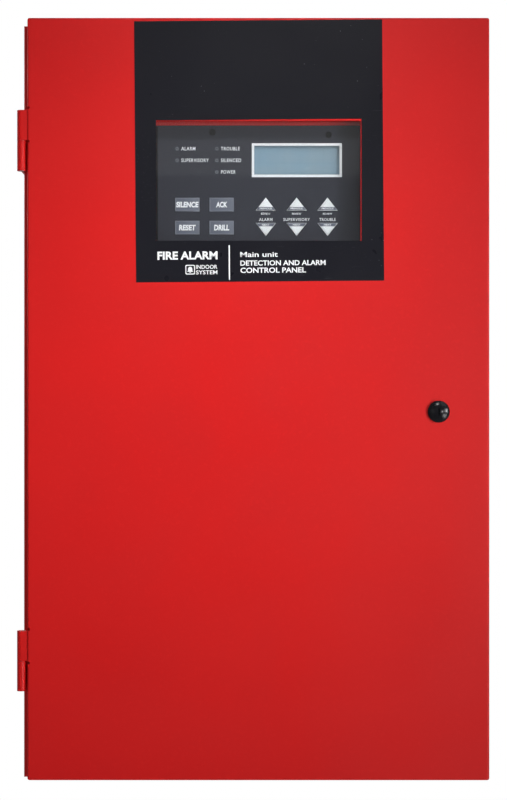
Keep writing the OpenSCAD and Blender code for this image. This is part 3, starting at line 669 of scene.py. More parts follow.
def lcd_face():
    """Unlit reflective display: blue-grey, with faint character cells."""
    f = Finish("lcd_blue", (0.248, 0.385, 0.490), 0.22, Coat_Weight=0.4, Coat_Roughness=0.08)
    f.tint(f.span(f.noise(30, 2), 0.35, 0.7), (0.284, 0.392, 0.456))
    f.tint(f.span(f.noise(9, 1, (1, 1, 5)), 0.45, 0.7), (0.236, 0.400, 0.512))
    for scale, axis in ((44.8, "X"), (29.5, "Z")):
        f.tint(f.span(f.bands(scale, axis), 0.04, 0.0, 0, 0.18), (0.189, 0.303, 0.374))
    f.rough(f.noise(200, 2), 0.18, 0.28)
    return f.material


def pale_floor():
    f = Finish("pale_floor", (0.86, 0.86, 0.85), 0.6)
    f.tint(f.span(f.noise(3, 2), 0.4, 0.7), (0.82, 0.82, 0.81))
    return f.material


RED = red_paint()
FILM = label_film()
PLATE_GREY = printed_plate()
PANE = see_through("clear_pane", (0.92, 0.95, 0.96), (0.97, 0.98, 0.985), scratched=True)
ZINC = plated("zinc_steel", (0.62, 0.63, 0.64), 0.32)
SPANGLE = galvanised()
BLACK_GLOSS = moulded("black_lock", (0.006, 0.006, 0.008), 0.15, 0.002, 700, Specular_IOR_Level=0.22)
MASK = board_mask()
BLACK = moulded("black_plastic", (0.020, 0.020, 0.022), 0.48)
# Matt black of the faceplate screws; also used for the painted shadow along the faceplate's left edge
MATT_BLACK_AND_SHADOW = moulded("matt_black_and_painted_shadow", (0.003, 0.003, 0.004), 0.7, Specular_IOR_Level=0.1)
GREEN = moulded("connector_green", (0.025, 0.26, 0.10), 0.42)
WHITE = moulded("relay_white", (0.74, 0.74, 0.70), 0.4)
SLEEVE = moulded("sleeve_blue", (0.016, 0.030, 0.13), 0.28, 0.006, 600)
TAN = moulded("ceramic_tan", (0.46, 0.33, 0.18), 0.38, 0.006, 900)
ALUMINIUM = plated("aluminium", (0.66, 0.67, 0.68), 0.34, (1, 1, 8))
ANODISED = plated("black_anodised", (0.045, 0.045, 0.05), 0.38, (1, 8, 1))
FUSE_GLASS = see_through("fuse_glass", (0.9, 0.95, 0.95), (0.9, 0.95, 0.94))
LAMINATION = plated("lamination", (0.16, 0.15, 0.15), 0.42)
TAPE = moulded("winding_tape", (0.60, 0.36, 0.035), 0.30, 0.02, 260)
BATTERY = moulded("battery_case", (0.040, 0.042, 0.046), 0.46, 0.02, 900)
BATTERY_LABEL = moulded("battery_label", (0.62, 0.63, 0.62), 0.36, 0.003, 500, 0.94)
BATTERY_BAND = moulded("battery_band", (0.03, 0.05, 0.10), 0.36, 0.003, 500, 0.9)
TINNED = plated("lead_tab", (0.58, 0.58, 0.56), 0.36)
BRASS = plated("brass", (0.74, 0.53, 0.22), 0.26)
WIRE_RED = moulded("wire_red", (0.52, 0.018, 0.016), 0.34, 0.006, 500)
WIRE_BLACK = moulded("wire_black", (0.014, 0.014, 0.015), 0.34, 0.006, 500)
WIRE_ORANGE = moulded("wire_orange", (0.68, 0.19, 0.02), 0.34, 0.006, 500)
RIBBON = moulded("ribbon_grey", (0.36, 0.37, 0.38), 0.42, 0.006, 500)
LAMP = moulded("lamp_grey", (0.15, 0.16, 0.18), 0.15, 0.002, 400, Transmission_Weight=0.35)
LAMP_RIM = moulded("lamp_rim", (0.11, 0.12, 0.145), 0.35, 0.002, 400)
LCD = lcd_face()
KEY_GREY = moulded("key_grey", (0.132, 0.145, 0.190), 0.42, 0.008, 1200, 0.93)
KEY_EDGE = moulded("key_edge", (0.188, 0.203, 0.250), 0.42, 0.008, 1200, 0.93)
KEY_WHITE = moulded("key_white", (0.94, 0.96, 0.97), 0.42, 0.008, 1200, 0.95)
INK = printed_ink("white_ink", (0.92, 0.94, 0.95))
SILK = printed_ink("silkscreen", (0.72, 0.74, 0.70))
COPPER = plated("masked_copper", (0.03, 0.24, 0.09), 0.35)

ARROW_KEYS = sorted(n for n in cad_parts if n.endswith(("_up", "_down")))
# Each key's word and the word's width
FLAT_KEYS = {"key_silence": ("SILENCE", 19.9), "key_ack": ("ACK", 10.0),
             "key_reset": ("RESET", 15.0), "key_drill": ("DRILL", 13.6)}
# CAD nodes that are shown as they are
CARRIED = {
    RED: ("back_wrap", "top_plate", "bottom_plate", "front_frame", "hinge_box_leaves",
          "display_bracket", "door_panel", "hinge_door_leaves"),
    FILM: ("door_overlay",),
    PLATE_GREY: ("display_faceplate",),
    PANE: ("window_pane",),
    ZINC: ("hinge_pins", "board_standoffs", "lock_cam", "lock_cam_screw", "lock_nut", "window_nuts"),
    SPANGLE: ("board_tray", "transformer_strap"),
    BLACK_GLOSS: ("lock_housing", "lock_plug"),
    MASK: ("main_board", "display_board", "lcd_board"),
    BLACK: ("lcd_frame",),
    ANODISED: ("heat_sink",),
    LCD: ("lcd_glass",),
    LAMINATION: ("transformer_core",),
}
for material, names in CARRIED.items():
    for name in names:
        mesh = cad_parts[name].data
        mesh.materials.clear()
        mesh.materials.append(material)


# ---- Door label ----

# Text, left end, base line, height, width, weight; from the label's middle
LABEL_LINES = (
    ("FIRE ALARM", -90.1, -95.0, 7.2, 52.8, 0.035),
    ("INDOOR", -56.3, -103.3, 3.5, 18.8, 0.012),
    ("SYSTEM", -56.3, -108.1, 3.5, 18.8, 0.012),
    ("Main unit", -17.3, -93.2, 4.5, 33.0, 0.014),
    ("DETECTION AND ALARM", -17.3, -100.8, 4.6, 74.9, 0.022),
    ("CONTROL PANEL", -17.3, -107.2, 4.7, 57.6, 0.022),
)
BELL_X, BELL_Z, BELL_FRAME = -61.4, -103.9, 4.2


def make_label_print():
    """Generic lettering, a rule and a framed bell in the band below the window."""
    ink = Shape()
    tilted = placed(LABEL.x, 0, LABEL.z, -LABEL_TILT)
    back, front = LABEL_FRONT, LABEL_FRONT - PRINT
    for text, left, base, height, width, weight in LABEL_LINES:
        ink.words(text, left, base, back, height, width, weight, place=tilted)
    ink.block((-27.5, front, -113.2), (-26.4, back, -82.7), 0, place=tilted)
    x, z, half = BELL_X, BELL_Z, BELL_FRAME
    ink.ring_prism(rounded(x, z, half, half, 1.2), rounded(x, z, half - 0.8, half - 0.8, 0.7),
                   back, front, place=tilted)
    bell = arc(x, z + 0.6, 1.9, 0, 180, 10) + [(x - 2.0, z - 1.2), (x - 2.8, z - 1.9),
                                               (x + 2.8, z - 1.9), (x + 2.0, z - 1.2)]
    ink.prism(bell, back, front, 0, place=tilted)
    ink.prism(arc(x, z - 2.1, 0.75, 180, 360, 8), back, front, 0, place=tilted)
    piece("label_print", ink, [INK], body="door")


make_label_print()


# ---- Display: print, keys and lamps ----

# Places are from the faceplate's middle: lamp labels with their widths, then the arrow keys' columns
LCD_X, LCD_Z = 34.4, 25.2
LAMP_LABELS = (
    ("ALARM", -72.3, 35.5, 12.7), ("SUPERVISORY", -72.3, 25.1, 24.6),
    ("TROUBLE", -36.9, 35.5, 16.8), ("SILENCED", -36.9, 25.1, 18.0), ("POWER", -36.9, 14.7, 13.0),
)
COLUMN_LABELS = (("ALARM", 6.7, 11.9), ("SUPERVISORY", 34.2, 23.6), ("TROUBLE", 61.7, 14.6))
KEY_BACK = PLATE_FRONT + 1.6        # just behind the faceplate
KEY_FLANGE = 1.0                    # thickness of the rim that holds a key behind it
STEM_RADIUS = 1.7


def make_plate_print():
    """Lettering of the faceplate, the display's white line, and a painted shadow: a black strip along the
    left edge.
    """
    ink = Shape()
    on_plate = placed(PLATE.x, 0, PLATE.z)
    back, front = PLATE_FRONT, PLATE_FRONT - PRINT
    for text, x, z, width in LAMP_LABELS:
        ink.words(text, x + 3.7, z - 1.6, back, 3.2, width, 0.012, 0.06, place=on_plate, spacing=1.12)
    for text, x, width in COLUMN_LABELS:
        ink.words(text, x, -29.0, back, 2.7, width, 0.008, middle=True, place=on_plate, spacing=1.12)
        ink.words("REVIEW", x, -23.4, back, 1.7, 8.3, 0.01, middle=True, place=on_plate)
    ink.ring_prism(rounded(LCD_X, LCD_Z, 40.15, 15.1, 0.5, 2), rounded(LCD_X, LCD_Z, 37.95, 12.8, 0.2, 2),
                   back, front, place=on_plate)
    low, high = box("display_faceplate")
    half_w, half_h = (high - low).xz / 2
    # Painted shadow: a black strip along the left edge of the faceplate, where the gap at the window's edge
    # lies in shade
    ink.block((-half_w + 0.5, front, -half_h + 1), (-half_w + 2.2, back, half_h - 1), 0, 1, on_plate)
    piece("faceplate_print_and_shadow", ink, [INK, MATT_BLACK_AND_SHADOW])


def make_flat_key(name, text, width):
    """Rectangular key: a grey cap with a lighter raised rim and a white word."""
    low, high = box(name)
    x, z = centre(low, high)
    half_w, half_h = 10.75, 6.05
    edge, flange = 0.8, 1.2
    face = low.y + 0.12
    outline = rounded(x, z, half_w, half_h, 0.6, 3)
    key = Shape()
    key.prism(outline, KEY_BACK, face, 0.15)
    key.ring_prism(outline, rounded(x, z, half_w - edge, half_h - edge, 0.3, 3), low.y + 0.14, low.y, 1)
    key.tile((x, z), (half_w + flange, half_h + flange), KEY_BACK + KEY_FLANGE, KEY_BACK, 0.1)
    key.rod((x, KEY_BACK + 0.5, z), (x, high.y, z), STEM_RADIUS)
    key.words(text, x, z - 2.6, face, 5.1, width, 0.045, 0.08, middle=True, mat=2)
    piece(name + "_cap", key, [KEY_GREY, KEY_EDGE, INK], name, body=name)


def make_arrow_key(name, up):
    """Triangular key: white, with a grey band at its base that holds a small word."""
    low, high = box(name)
    x, front = centre(low, high)[0], low.y
    half_w, tall, band, flange = 8.825, 11.3, 3.0, 1.2
    base, sign = (PLATE.z - 19.6, 1) if up else (PLATE.z - 30.8, -1)
    at_band = half_w * (1 - band / tall)

    def outline(*points):
        """Points as (half width, height over the base), on both sides of the key's middle."""
        right = [(x + w, base + sign * h) for w, h in points]
        left = [(x - w, base + sign * h) for w, h in points if w]
        return left[:1] + right + left[:0:-1]

    key = Shape()
    key.prism(outline((half_w, 0), (0, tall)), KEY_BACK, front, 0.12)
    key.prism(outline((half_w + 2.6, -flange), (0, tall + 2)), KEY_BACK, KEY_BACK + KEY_FLANGE, 0.1)
    stem_z = base + sign * tall / 3
    key.rod((x, KEY_BACK + 0.5, stem_z), (x, high.y, stem_z), STEM_RADIUS)
    key.prism(outline((half_w - 0.5, 0.22), (at_band, band)), front, front - 0.02, 0, 1)
    text, width = ("PREVIOUS", 10.6) if up else ("NEXT", 6.6)
    key.words(text, x, base + sign * 1.65 - 0.8, front - 0.02, 1.6, width, 0.02, middle=True, mat=2)
    piece(name + "_cap", key, [KEY_WHITE, KEY_GREY, INK], name, body=name)


def make_lamps():
    """Status lamps: unlit, each with a ringed lens in a rim."""
    lamps = Shape()
    for low, high in solids("status_leds"):
        x, z = centre(low, high)
        r, tall = 1.5, high.y - low.y
        profile = [(0, 0), (1.9, 0), (1.9, 1.0), (r, 1.0), (r, tall - 0.15), (r - 0.15, tall - 0.05),
                   (r - 0.6, tall - 0.05), (r - 0.7, tall - 0.2), (0.5, tall - 0.05), (0, tall)]
        lamps.lathe(profile, (x, high.y, z), 24, [0] * 6 + [1] * 3)
    piece("status_lamps", lamps, [LAMP_RIM, LAMP], "status_leds")


make_plate_print()
for name, (text, width) in FLAT_KEYS.items():
    make_flat_key(name, text, width)
for name in ARROW_KEYS:
    make_arrow_key(name, name.endswith("_up"))
make_lamps()


# ---- Small hardware ----

ALONG_X = Matrix(((0, 1, 0, 0), (0, 0, 1, 0), (1, 0, 0, 0), (0, 0, 0, 1)))
UPRIGHT = Matrix.Rotation(math.pi / 2, 4, "X")
PLATE_SCREWS = ((-40.9, 50.0), (62.8, 47.8))        # from the faceplate's middle


def plus_sign(reach, width):
    """Outline of a cross with arms of this reach and half width."""
    corner = [(width, width), (width, reach), (-width, reach)]
    return [
        (x * c - z * s, x * s + z * c)
        for c, s in ((1, 0), (0, 1), (-1, 0), (0, -1)) for x, z in corner
    ]


def cross_screw(radius, height):
    """Pan-head screw with a cross recess; its seat is at the origin and it faces -Y."""
    head, cross = Shape(), Shape()
    dome = [(0, 0), (radius, 0), (radius, 0.4 * height), (0.88 * radius, 0.8 * height),
            (0.6 * radius, height), (0, height)]
    head.lathe(dome, (0, 0, 0), 24)
    cross.prism(plus_sign(0.6 * radius, 0.13 * radius), -0.35 * height, -2 * height, 0)
    return carved(head, cross)


def slot_screw(radius, height):
    """Cheese-head screw with a slot; its seat is at the origin and it faces -Y."""
    head, slot = Shape(), Shape()
    head.rod((0, 0, 0), (0, -height, 0), radius, soft=0.15, sides=20)
    slot.tile((0, 0), (2 * radius, 0.16 * radius), -0.5 * height, -2 * height, 0)
    return carved(head, slot)


def make_screws(node, name):
    """Cross-head screws in the places of a CAD node's plain heads."""
    rng = random.Random(SEED_SCREWS)
    screws = Shape()
    for low, high in solids(node):
        x, z = centre(low, high)
        head = cross_screw((high.x - low.x) / 2, high.y - low.y)
        screws.stamp(head, placed(x, high.y, z, rng.uniform(0, math.pi / 2)))
    piece(name, screws, [ZINC], node)


def make_plate_screws():
    """Two small black screws in the top of the faceplate."""
    screws = Shape()
    for x, z in PLATE_SCREWS:
        screws.stamp(cross_screw(2.9, 1.2), placed(PLATE.x + x, PLATE_FRONT, PLATE.z + z))
    piece("faceplate_screws", screws, [MATT_BLACK_AND_SHADOW])


make_screws("board_screws", "board_screw_heads")
make_screws("chassis_screws", "chassis_screw_heads")
make_plate_screws()


# ---- Circuit board ----

WIRE_DEPTH = BOARD_FRONT - 6        # depth of the wire mouths of the terminals
WAY = 5                             # width of one way of a screw terminal
PLUG_OUTLINE = (25, 98, 55, 110)    # flat cable's plug on the board: x, z of two corners


def seat(x, z, turn=0):
    """Place on the main board, from its middle, with a turn in its plane in degrees."""
    return placed(BOARD.x + x, BOARD_FRONT, BOARD.z + z, math.radians(turn))


def terminal_way():
    """One way of a screw terminal, with its wire mouth down."""
    body, cuts = Shape(), Shape()
    screw_at = Vector((0, -11.6, 1.5))
    profile = [(6, 0), (-6, 0), (-6, -9), (-3, -14), (6, -14)]
    body.prism(profile, -2.44, 2.44, 0.3, place=ALONG_X)
    cuts.rod((0, -15, 1.5), screw_at, 2.0, soft=0)
    cuts.block((-1.7, -8.4, -7), (1.7, -3.4, -2.4), 0)
    way = carved(body, cuts)
    way.stamp(slot_screw(1.8, 1.0), placed(*screw_at, 0.4))
    for face in way.bm.faces:
        spot = face.calc_center_median()
        if spot.y < -11.5 and (spot - Vector((0, -12, 1.5))).length < 1.9:
            face.material_index = 1
    way.block((-1.65, -8.35, -3.1), (1.65, -3.45, -2.7), 0.1, 1)
    way.block((-1.65, -8.35, -5.2), (1.65, -7.7, -2.7), 0.1, 1)
    return way


def make_terminals():
    """Rows of six ways along the lower and right edges, and a pair for the transformer."""
    way = terminal_way()
    row, blocks = Shape(), Shape()
    for k in range(6):
        row.stamp(way, placed(WAY * (k - 2.5), 0, 0))
    row.block((-15, -7, -5.6), (-14.8, 0, 5.6), 0.05)
    for x in (22, 55, 88):
        for side in (-1, 1):
            blocks.stamp(row, seat(side * x, -99))
    for n in range(4):
        blocks.stamp(row, seat(119, 64 - 34 * n, -90))
    for n in range(2):
        blocks.stamp(way, seat(-109, -34 + 6 * n, 90))
    piece("screw_terminals", blocks, [GREEN, ZINC], "terminal_blocks")


def make_relays():
    """Relays: case on a dark base, with a printed panel, three lines and a corner dot."""
    relays = Shape()
    for low, high in solids("relays"):
        x, z = centre(low, high)
        w, h = (high - low).xz / 2
        front = low.y
        relays.tile((x, z), (w, h), high.y - 1.2, front, 0.7)
        relays.tile((x, z), (w - 0.5, h - 0.5), high.y, high.y - 1.4, 0.1, 1)
        relays.tile((x, z), (w - 2.5, h - 3), front + 0.3, front - 0.02, 0, 2)
        for width, dz in ((11, 1.6), (8, 0), (9.5, -1.6)):
            relays.tile((x, z + dz), (width / 2, 0.3), front, front - 0.04, 0, 1)
        dot_x, dot_z = high.x - 1.6, low.z + 1.6
        relays.rod((dot_x, front + 0.2, dot_z), (dot_x, front - 0.03, dot_z), 0.6, mat=1)
    piece("relay_cases", relays, [WHITE, BLACK, SILK], "relays")


def make_capacitors():
    """Electrolytic cans: sleeve with a polarity stripe, crimped bead and scored lid."""
    cans = Shape()
    for low, high in solids("capacitors"):
        x, z = centre(low, high)
        r, tall = (high.x - low.x) / 2, high.y - low.y
        bead = 0.12 * tall
        profile = [(0, 0), (r - 0.7, 0), (r - 0.5, 0.6), (r - 0.1, 1.0), (r, 1.6), (r, bead),
                   (r - 0.6, bead + 0.7), (r, bead + 1.5), (r, tall - 0.9), (r - 0.3, tall - 0.2),
                   (r - 1.2, tall - 0.1), (r - 1.5, tall - 0.5), (0, tall - 0.5)]
        cans.lathe(profile, (x, high.y, z), 36, [1] + [0] * 9 + [2, 2])
        wedge = [(0.25, 0.25)] + arc(0.25, 0.25, r - 2.2, 6, 84, 6)
        for k in range(4):
            cans.prism(wedge, low.y + 0.6, low.y + 0.25, 0.08, 2, placed(x, 0, z, math.pi / 2 * k))
        stripe = arc(x, z, r + 0.03, 150, 210, 8) + arc(x, z, r - 0.1, 210, 150, 8)
        cans.prism(stripe, high.y - bead - 2, low.y + 1.2, 0, 3)
    piece("capacitor_cans", cans, [SLEEVE, BLACK, ALUMINIUM, SILK], "capacitors")


def chip(shape, low, high, four_sides, pitch):
    """Flat package with bent leads on its left and right, or on all four sides."""
    reach = 1.6
    x, z = centre(low, high)
    w, h = (high.x - low.x) / 2 - reach, (high.z - low.z) / 2 - (reach if four_sides else 0)
    shape.tile((x, z), (w, h), high.y - 0.3, low.y, 0.35)
    dot_x, dot_z = x - w + 2, z + h - 2
    shape.rod((dot_x, low.y + 0.3, dot_z), (dot_x, low.y - 0.02, dot_z), 0.6, sides=16, mat=1)
    half, thick = 0.5 * min(0.45, 0.35 * pitch), 0.12
    knee = (low.y + high.y) / 2

    def lead(root, out):
        """Lead from the body at root, outwards, down to the board and along it."""
        along = Vector((abs(out.x), abs(out.y)))
        across = half * along.yx
        bend, tip = root + 0.7 * out, root + reach * out
        for start, end, top, bottom, grow in (
            (root, bend, knee, knee, 0), (bend, bend, knee, high.y, thick), (bend, tip, high.y, high.y, 0),
        ):
            length = (end - start).length / 2 + grow
            shape.tile((start + end) / 2, across + length * along, bottom, top - thick, 0, 2)

    sides = [(h, Vector((w, 0)), Vector((0, 1)))]
    if four_sides:
        sides.append((w, Vector((0, h)), Vector((1, 0))))
    for half_row, away, row in sides:
        count = int((2 * half_row - 1) / pitch)
        for k in range(count):
            spot = Vector((x, z)) + row * ((k - (count - 1) / 2) * pitch)
            lead(spot - away, -away.normalized())
            lead(spot + away, away.normalized())


def make_chips():
    """Chips: the long ones lie down, and the square one has leads all round."""
    chips = Shape()
    for low, high in solids("logic_chips"):
        size = high - low
        if size.x > 1.5 * size.z:
            half = size / 2
            upright = Shape()
            corner = Vector((half.z, half.y, half.x))
            chip(upright, -corner, corner, False, 2.54)
            chips.stamp(upright, placed(*(low + high) / 2, math.pi / 2))
        else:
            chip(chips, low, high, abs(size.x - size.z) < 3, 1.27)
    piece("chip_packages", chips, [BLACK, SILK, TINNED], "logic_chips")


def make_fuses():
    """Glass fuses: tube, wire, end caps and spring clips."""
    fuses = Shape()
    y = -6
    clip = arc(0, 0, 3.1, 140, 400, 18) + arc(0, 0, 2.65, 400, 140, 18)
    for x in (-96, -80):
        at = seat(x, -22)
        stand = at @ Matrix(((1, 0, 0, 0), (0, 0, -1, y), (0, 1, 0, 0), (0, 0, 0, 1)))
        fuses.rod((0, y, -8.2), (0, y, 8.2), 2.45, soft=0.2, place=at)
        fuses.rod((0, y, -9), (0, y, 9), 0.2, soft=0, sides=8, mat=1, place=at)
        for side in (-1, 1):
            z = side * 7.6
            fuses.rod((0, y, side * 10), (0, y, side * 5), 2.6, soft=0.3, mat=1, place=at)
            fuses.prism(clip, z - 2.2, z + 2.2, 0, 1, place=stand)
            fuses.tile((0, z), (2.4, 2.2), -2.9, -3.6, 0.1, 1, at)
            fuses.tile((0, z), (1.2, 1.2), 0, -3, 0.1, 1, at)
    piece("fuse_holders", fuses, [FUSE_GLASS, TINNED], "fuses")


def make_jacks():
    """Telephone jacks with eight gold contacts and a notch for the catch."""
    jacks = Shape()
    for x in (-104, -82):
        at = seat(x, 96)
        body, cuts = Shape(), Shape()
        body.block((-8, -14, -9), (8, 0, 9), 0.5)
        cuts.block((-5.9, -11.6, -4), (5.9, -4.6, 12), 0)
        cuts.block((-3.1, -13, -2), (3.1, -11.2, 12), 0)
        jacks.stamp(carved(body, cuts), at)
        for k in range(8):
            px = 1.02 * (k - 3.5)
            jacks.tube([(px, -4.8, 8.6), (px, -5.2, 6), (px, -7.6, -2.4)], 0.22, 8, 1, at)
    piece("jack_housings", jacks, [BLACK, BRASS], "phone_jacks")


def make_sounder():
    """Round sounder with a port in its face and a plus mark."""
    low, high = box("sounder")
    x, z = centre(low, high)
    r, tall = (high.x - low.x) / 2, high.y - low.y
    profile = [(0, 0), (r, 0), (r, 0.62 * tall), (r - 0.5, 0.66 * tall), (r - 0.5, tall - 0.8),
               (r - 1.2, tall), (4.2, tall), (3.9, tall - 0.4), (1.6, tall - 0.4),
               (1.5, tall - 3), (0, tall - 3)]
    sounder = Shape().lathe(profile, (x, high.y, z), 48)
    sounder.prism(plus_sign(1.1, 0.25), low.y + 0.01, low.y - 0.02, 0, 1, placed(x - 6.6, 0, z + 3))
    piece("sounder_case", sounder, [BLACK, SILK], "sounder")


def strip(shape, path, width, back, front, mat):
    """Flat band of this width along points in the plane of the board."""
    sides = []
    for n, p in enumerate(path):
        before = (p - path[n - 1]).normalized() if n else None
        after = (path[n + 1] - p).normalized() if n + 1 < len(path) else None
        ahead = ((before or after) + (after or before)).normalized()
        reach = width / 2 / max(0.5, ahead.dot(after or before))
        sides.append(Vector((-ahead.y, ahead.x)) * reach)
    outline = [p + s for p, s in zip(path, sides)] + [p - s for p, s in zip(path[::-1], sides[::-1])]
    shape.prism([tuple(p) for p in outline], back, front, 0, mat)


def make_tracks(parts, rng, low, high):
    """Bundles of tracks with bends of 45 degrees, and a ring at each of their ends."""
    gap, edge = 0.9, 3
    slant = 0.37        # keeps the gap even round a bend
    for _ in range(34):
        x, z = rng.uniform(low.x + 12, high.x - 40), rng.uniform(low.z + 14, high.z - 14)
        count, run = rng.randint(2, 6), rng.uniform(10, 40)
        rise = rng.uniform(4, 16) * rng.choice((-1, 1))
        tail = rng.uniform(6, 26)
        for k in range(count):
            a = Vector((x, z + gap * k))
            b = a + Vector((run - math.copysign(slant * k, rise), 0))
            c = b + Vector((abs(rise), rise))
            d = c + Vector((tail + slant * k, 0))
            if d.x > high.x - edge or not low.z + edge < d.y < high.z - edge:
                continue
            strip(parts, [a, b, c, d], 0.4, BOARD_FRONT, BOARD_FRONT - 0.04, 1)
            for x1, z1 in (a, d):
                parts.rod((x1, BOARD_FRONT, z1), (x1, BOARD_FRONT - 0.06, z1), 0.42, soft=0, sides=10, mat=2)


def capped(parts, half, tall, soft, mat, spot):
    """Small two-ended part with a metal cap over each end."""
    parts.block((-half, -tall, -0.62), (half, 0, 0.62), soft, mat, spot)
    for x in (-half - 0.6, half - 0.05):
        parts.block((x, -tall - 0.02, -0.64), (x + 0.65, 0, 0.64), 0.06 if soft < 0.1 else 0.1, 2, spot)


def make_small_parts(parts, rng, low, high, taken):
    """Resistors, ceramic capacitors, transistors and cans on a loose grid, clear of the big parts."""
    clear = 2.6
    for row in range(26):
        for column in range(34):
            x = low.x + 7 + column * 7.2 + rng.uniform(-1, 1)
            z = low.z + 7 + row * 7.8 + rng.uniform(-1, 1)
            kind, across = rng.random(), rng.random() < 0.5
            free = all(not (x0 - clear < x < x1 + clear and z0 - clear < z < z1 + clear)
                       for x0, z0, x1, z1 in taken)
            inside = low.x + 5 < x < high.x - 5 and low.z + 5 < z < high.z - 5
            if not free or not inside or kind > 0.62:
                continue
            spot = placed(x, BOARD_FRONT, z, math.pi / 2 * across)
            if kind < 0.30:
                capped(parts, 1.0, 0.55, 0.06, 3, spot)
            elif kind < 0.48:
                capped(parts, 0.9, 1.0, 0.1, 4, spot)
            elif kind < 0.56:
                parts.block((-1.4, -1.2, -1.4), (1.4, -0.1, 1.4), 0.15, 3, spot)
                for leg_x, z0, z1 in ((-0.95, -1.9, -1.33), (0.95, -1.9, -1.33), (0, 1.33, 1.9)):
                    parts.block((leg_x - 0.25, -0.5, z0), (leg_x + 0.25, 0, z1), 0.05, 2, spot)
            else:
                parts.rod((0, 0, 0), (0, -5.2, 0), 2.0, soft=0.3, sides=20, mat=5, place=spot)


def make_board_details():
    """Outlines of the big parts, tracks, and the small parts between them."""
    rng = random.Random(SEED_BOARD)
    low, high = box("main_board")
    nodes = ("terminal_blocks", "relays", "capacitors", "logic_chips", "heat_sink", "fuses",
             "phone_jacks", "sounder", "board_screws")
    margin = 1.5
    taken = [(a.x - margin, a.z - margin, b.x + margin, b.z + margin) for n in nodes for a, b in solids(n)]
    taken.append(PLUG_OUTLINE)
    parts = Shape()
    for x0, z0, x1, z1 in taken:
        outer, inner = (
            [(x0 + d, z0 + d), (x1 - d, z0 + d), (x1 - d, z1 - d), (x0 + d, z1 - d)] for d in (0.6, 0.85)
        )
        parts.ring_prism(outer, inner, BOARD_FRONT, BOARD_FRONT - PRINT)
    make_tracks(parts, rng, low, high)
    make_small_parts(parts, rng, low, high, taken)
    piece("board_details", parts, [SILK, COPPER, TINNED, BLACK, TAN, SLEEVE])


make_terminals()
make_relays()
make_capacitors()
make_chips()
make_fuses()
make_jacks()
make_sounder()
make_board_details()


# ---- Power parts ----

# Routes of the leads: from the batteries' sockets to the terminals below the board
LEAD_BLACK = [(-166, -66, -134), (-166, -66, -128), (-160, -63, -120), (-140, -57, -117), (-100, -50, -116),
              (-60, -44, -116), (-20, -38, -115), (6, -33, -112), (16, -30.5, -106), (18.5, WIRE_DEPTH, -100),
              (18.5, WIRE_DEPTH, -91)]
LEAD_RED = [(166, -66, -134), (166, -66, -128), (160, -63, -120), (140, -57, -117), (110, -50, -116),
            (80, -44, -115), (50, -38, -113), (34, -33, -109), (29.5, -30.5, -104), (28.5, WIRE_DEPTH, -99),
            (28.5, WIRE_DEPTH, -91)]
LEAD_JUMPER = [(-16, -66, -134), (-16, -66, -130), (-11, -66, -125), (0, -66, -123), (11, -66, -125),
               (16, -66, -130), (16, -66, -134)]
# The lower of the transformer's two leads, and the middle of the flat cable
LEAD_TRANSFORMER = [(-97, -50, -34), (-92, -50, -34), (-87, -47, -32), (-83, -40, -28), (-79, -34, -24.5),
                    (-76, -30.5, -23.2), (-73, WIRE_DEPTH, -23), (-69.5, WIRE_DEPTH, -23)]
PLUG_TOP = BOARD_FRONT - 16.9
CABLE = [(0, -76, 140), (0, -70, 140), (0, -60, 134), (0, -54, 122), (0, -50, 112), (0, -44, 104),
         (0, PLUG_TOP, 104)]
CABLE_WIRES, CABLE_PITCH = 20, 1.27


def make_mains_block():
    """Barrier strip: fins between the ways and two clamp screws to each."""
    low, high = box("mains_terminal")
    x, z = centre(low, high)
    half_h = (high.z - low.z) / 2
    front, pitch = TRAY_FRONT - 10, 13
    block, clamp = Shape(), cross_screw(2.9, 2.0)
    block.block((low.x, front + 3, low.z), high, 0.5)
    block.block((low.x + 5.5, front, low.z + 0.5), (high.x - 5.5, high.y, high.z - 0.5), 0.5)
    for k in range(4):
        block.tile((x + pitch * (k - 1.5), z), (1, half_h), high.y - 1, low.y, 0.3)
    for k in range(3):
        way_x = x + pitch * (k - 1)
        block.tile((way_x, z), (4, 10.5), front + 0.5, front - 0.7, 0.15, 1)
        for dz in (-6, 6):
            block.tile((way_x, z + dz), (3.6, 3.6), front - 0.9, front - 1.9, 0.3, 1)
            block.stamp(clamp, placed(way_x, front - 1.9, z + dz, 0.35 * k + 0.2 * dz), 1)
    for side in (low.x + 3, high.x - 3):
        block.stamp(cross_screw(2.2, 1.4), placed(side, front + 3, z))
    piece("mains_strip", block, [BLACK, ZINC], "mains_terminal")


def make_earth_stud():
    """Threaded stud with two nuts and a toothed washer."""
    low, high = box("earth_terminal")
    x, z = centre(low, high)
    length, pitch = high.y - low.y, 0.8
    stud = Shape()
    profile = [(0, 0), (2.1, 0)]
    for k in range(int(length / pitch) - 1):
        profile += [(r, pitch * (k + part)) for r, part in ((2.4, 0.25), (2.4, 0.4), (2.0, 0.75), (2.0, 0.9))]
    profile += [(2.0, length - 0.5), (1.6, length), (0, length)]
    stud.lathe(profile, (x, high.y, z), 20)
    for back, turn in ((high.y, 8), (high.y - 4.5, 31)):
        stud.prism(arc(x, z, 5, turn, turn + 300, 5), back, back - 3.5, 0.4)
    teeth = 16
    gear = []
    for k in range(2 * teeth):
        gear += arc(x, z, 5.6 if k % 2 else 4.6, 180 / teeth * k, 0, 1)[:1]
    stud.prism(gear, high.y - 3.5, high.y - 4.4, 0, 1)
    piece("earth_stud", stud, [BRASS, ZINC], "earth_terminal")


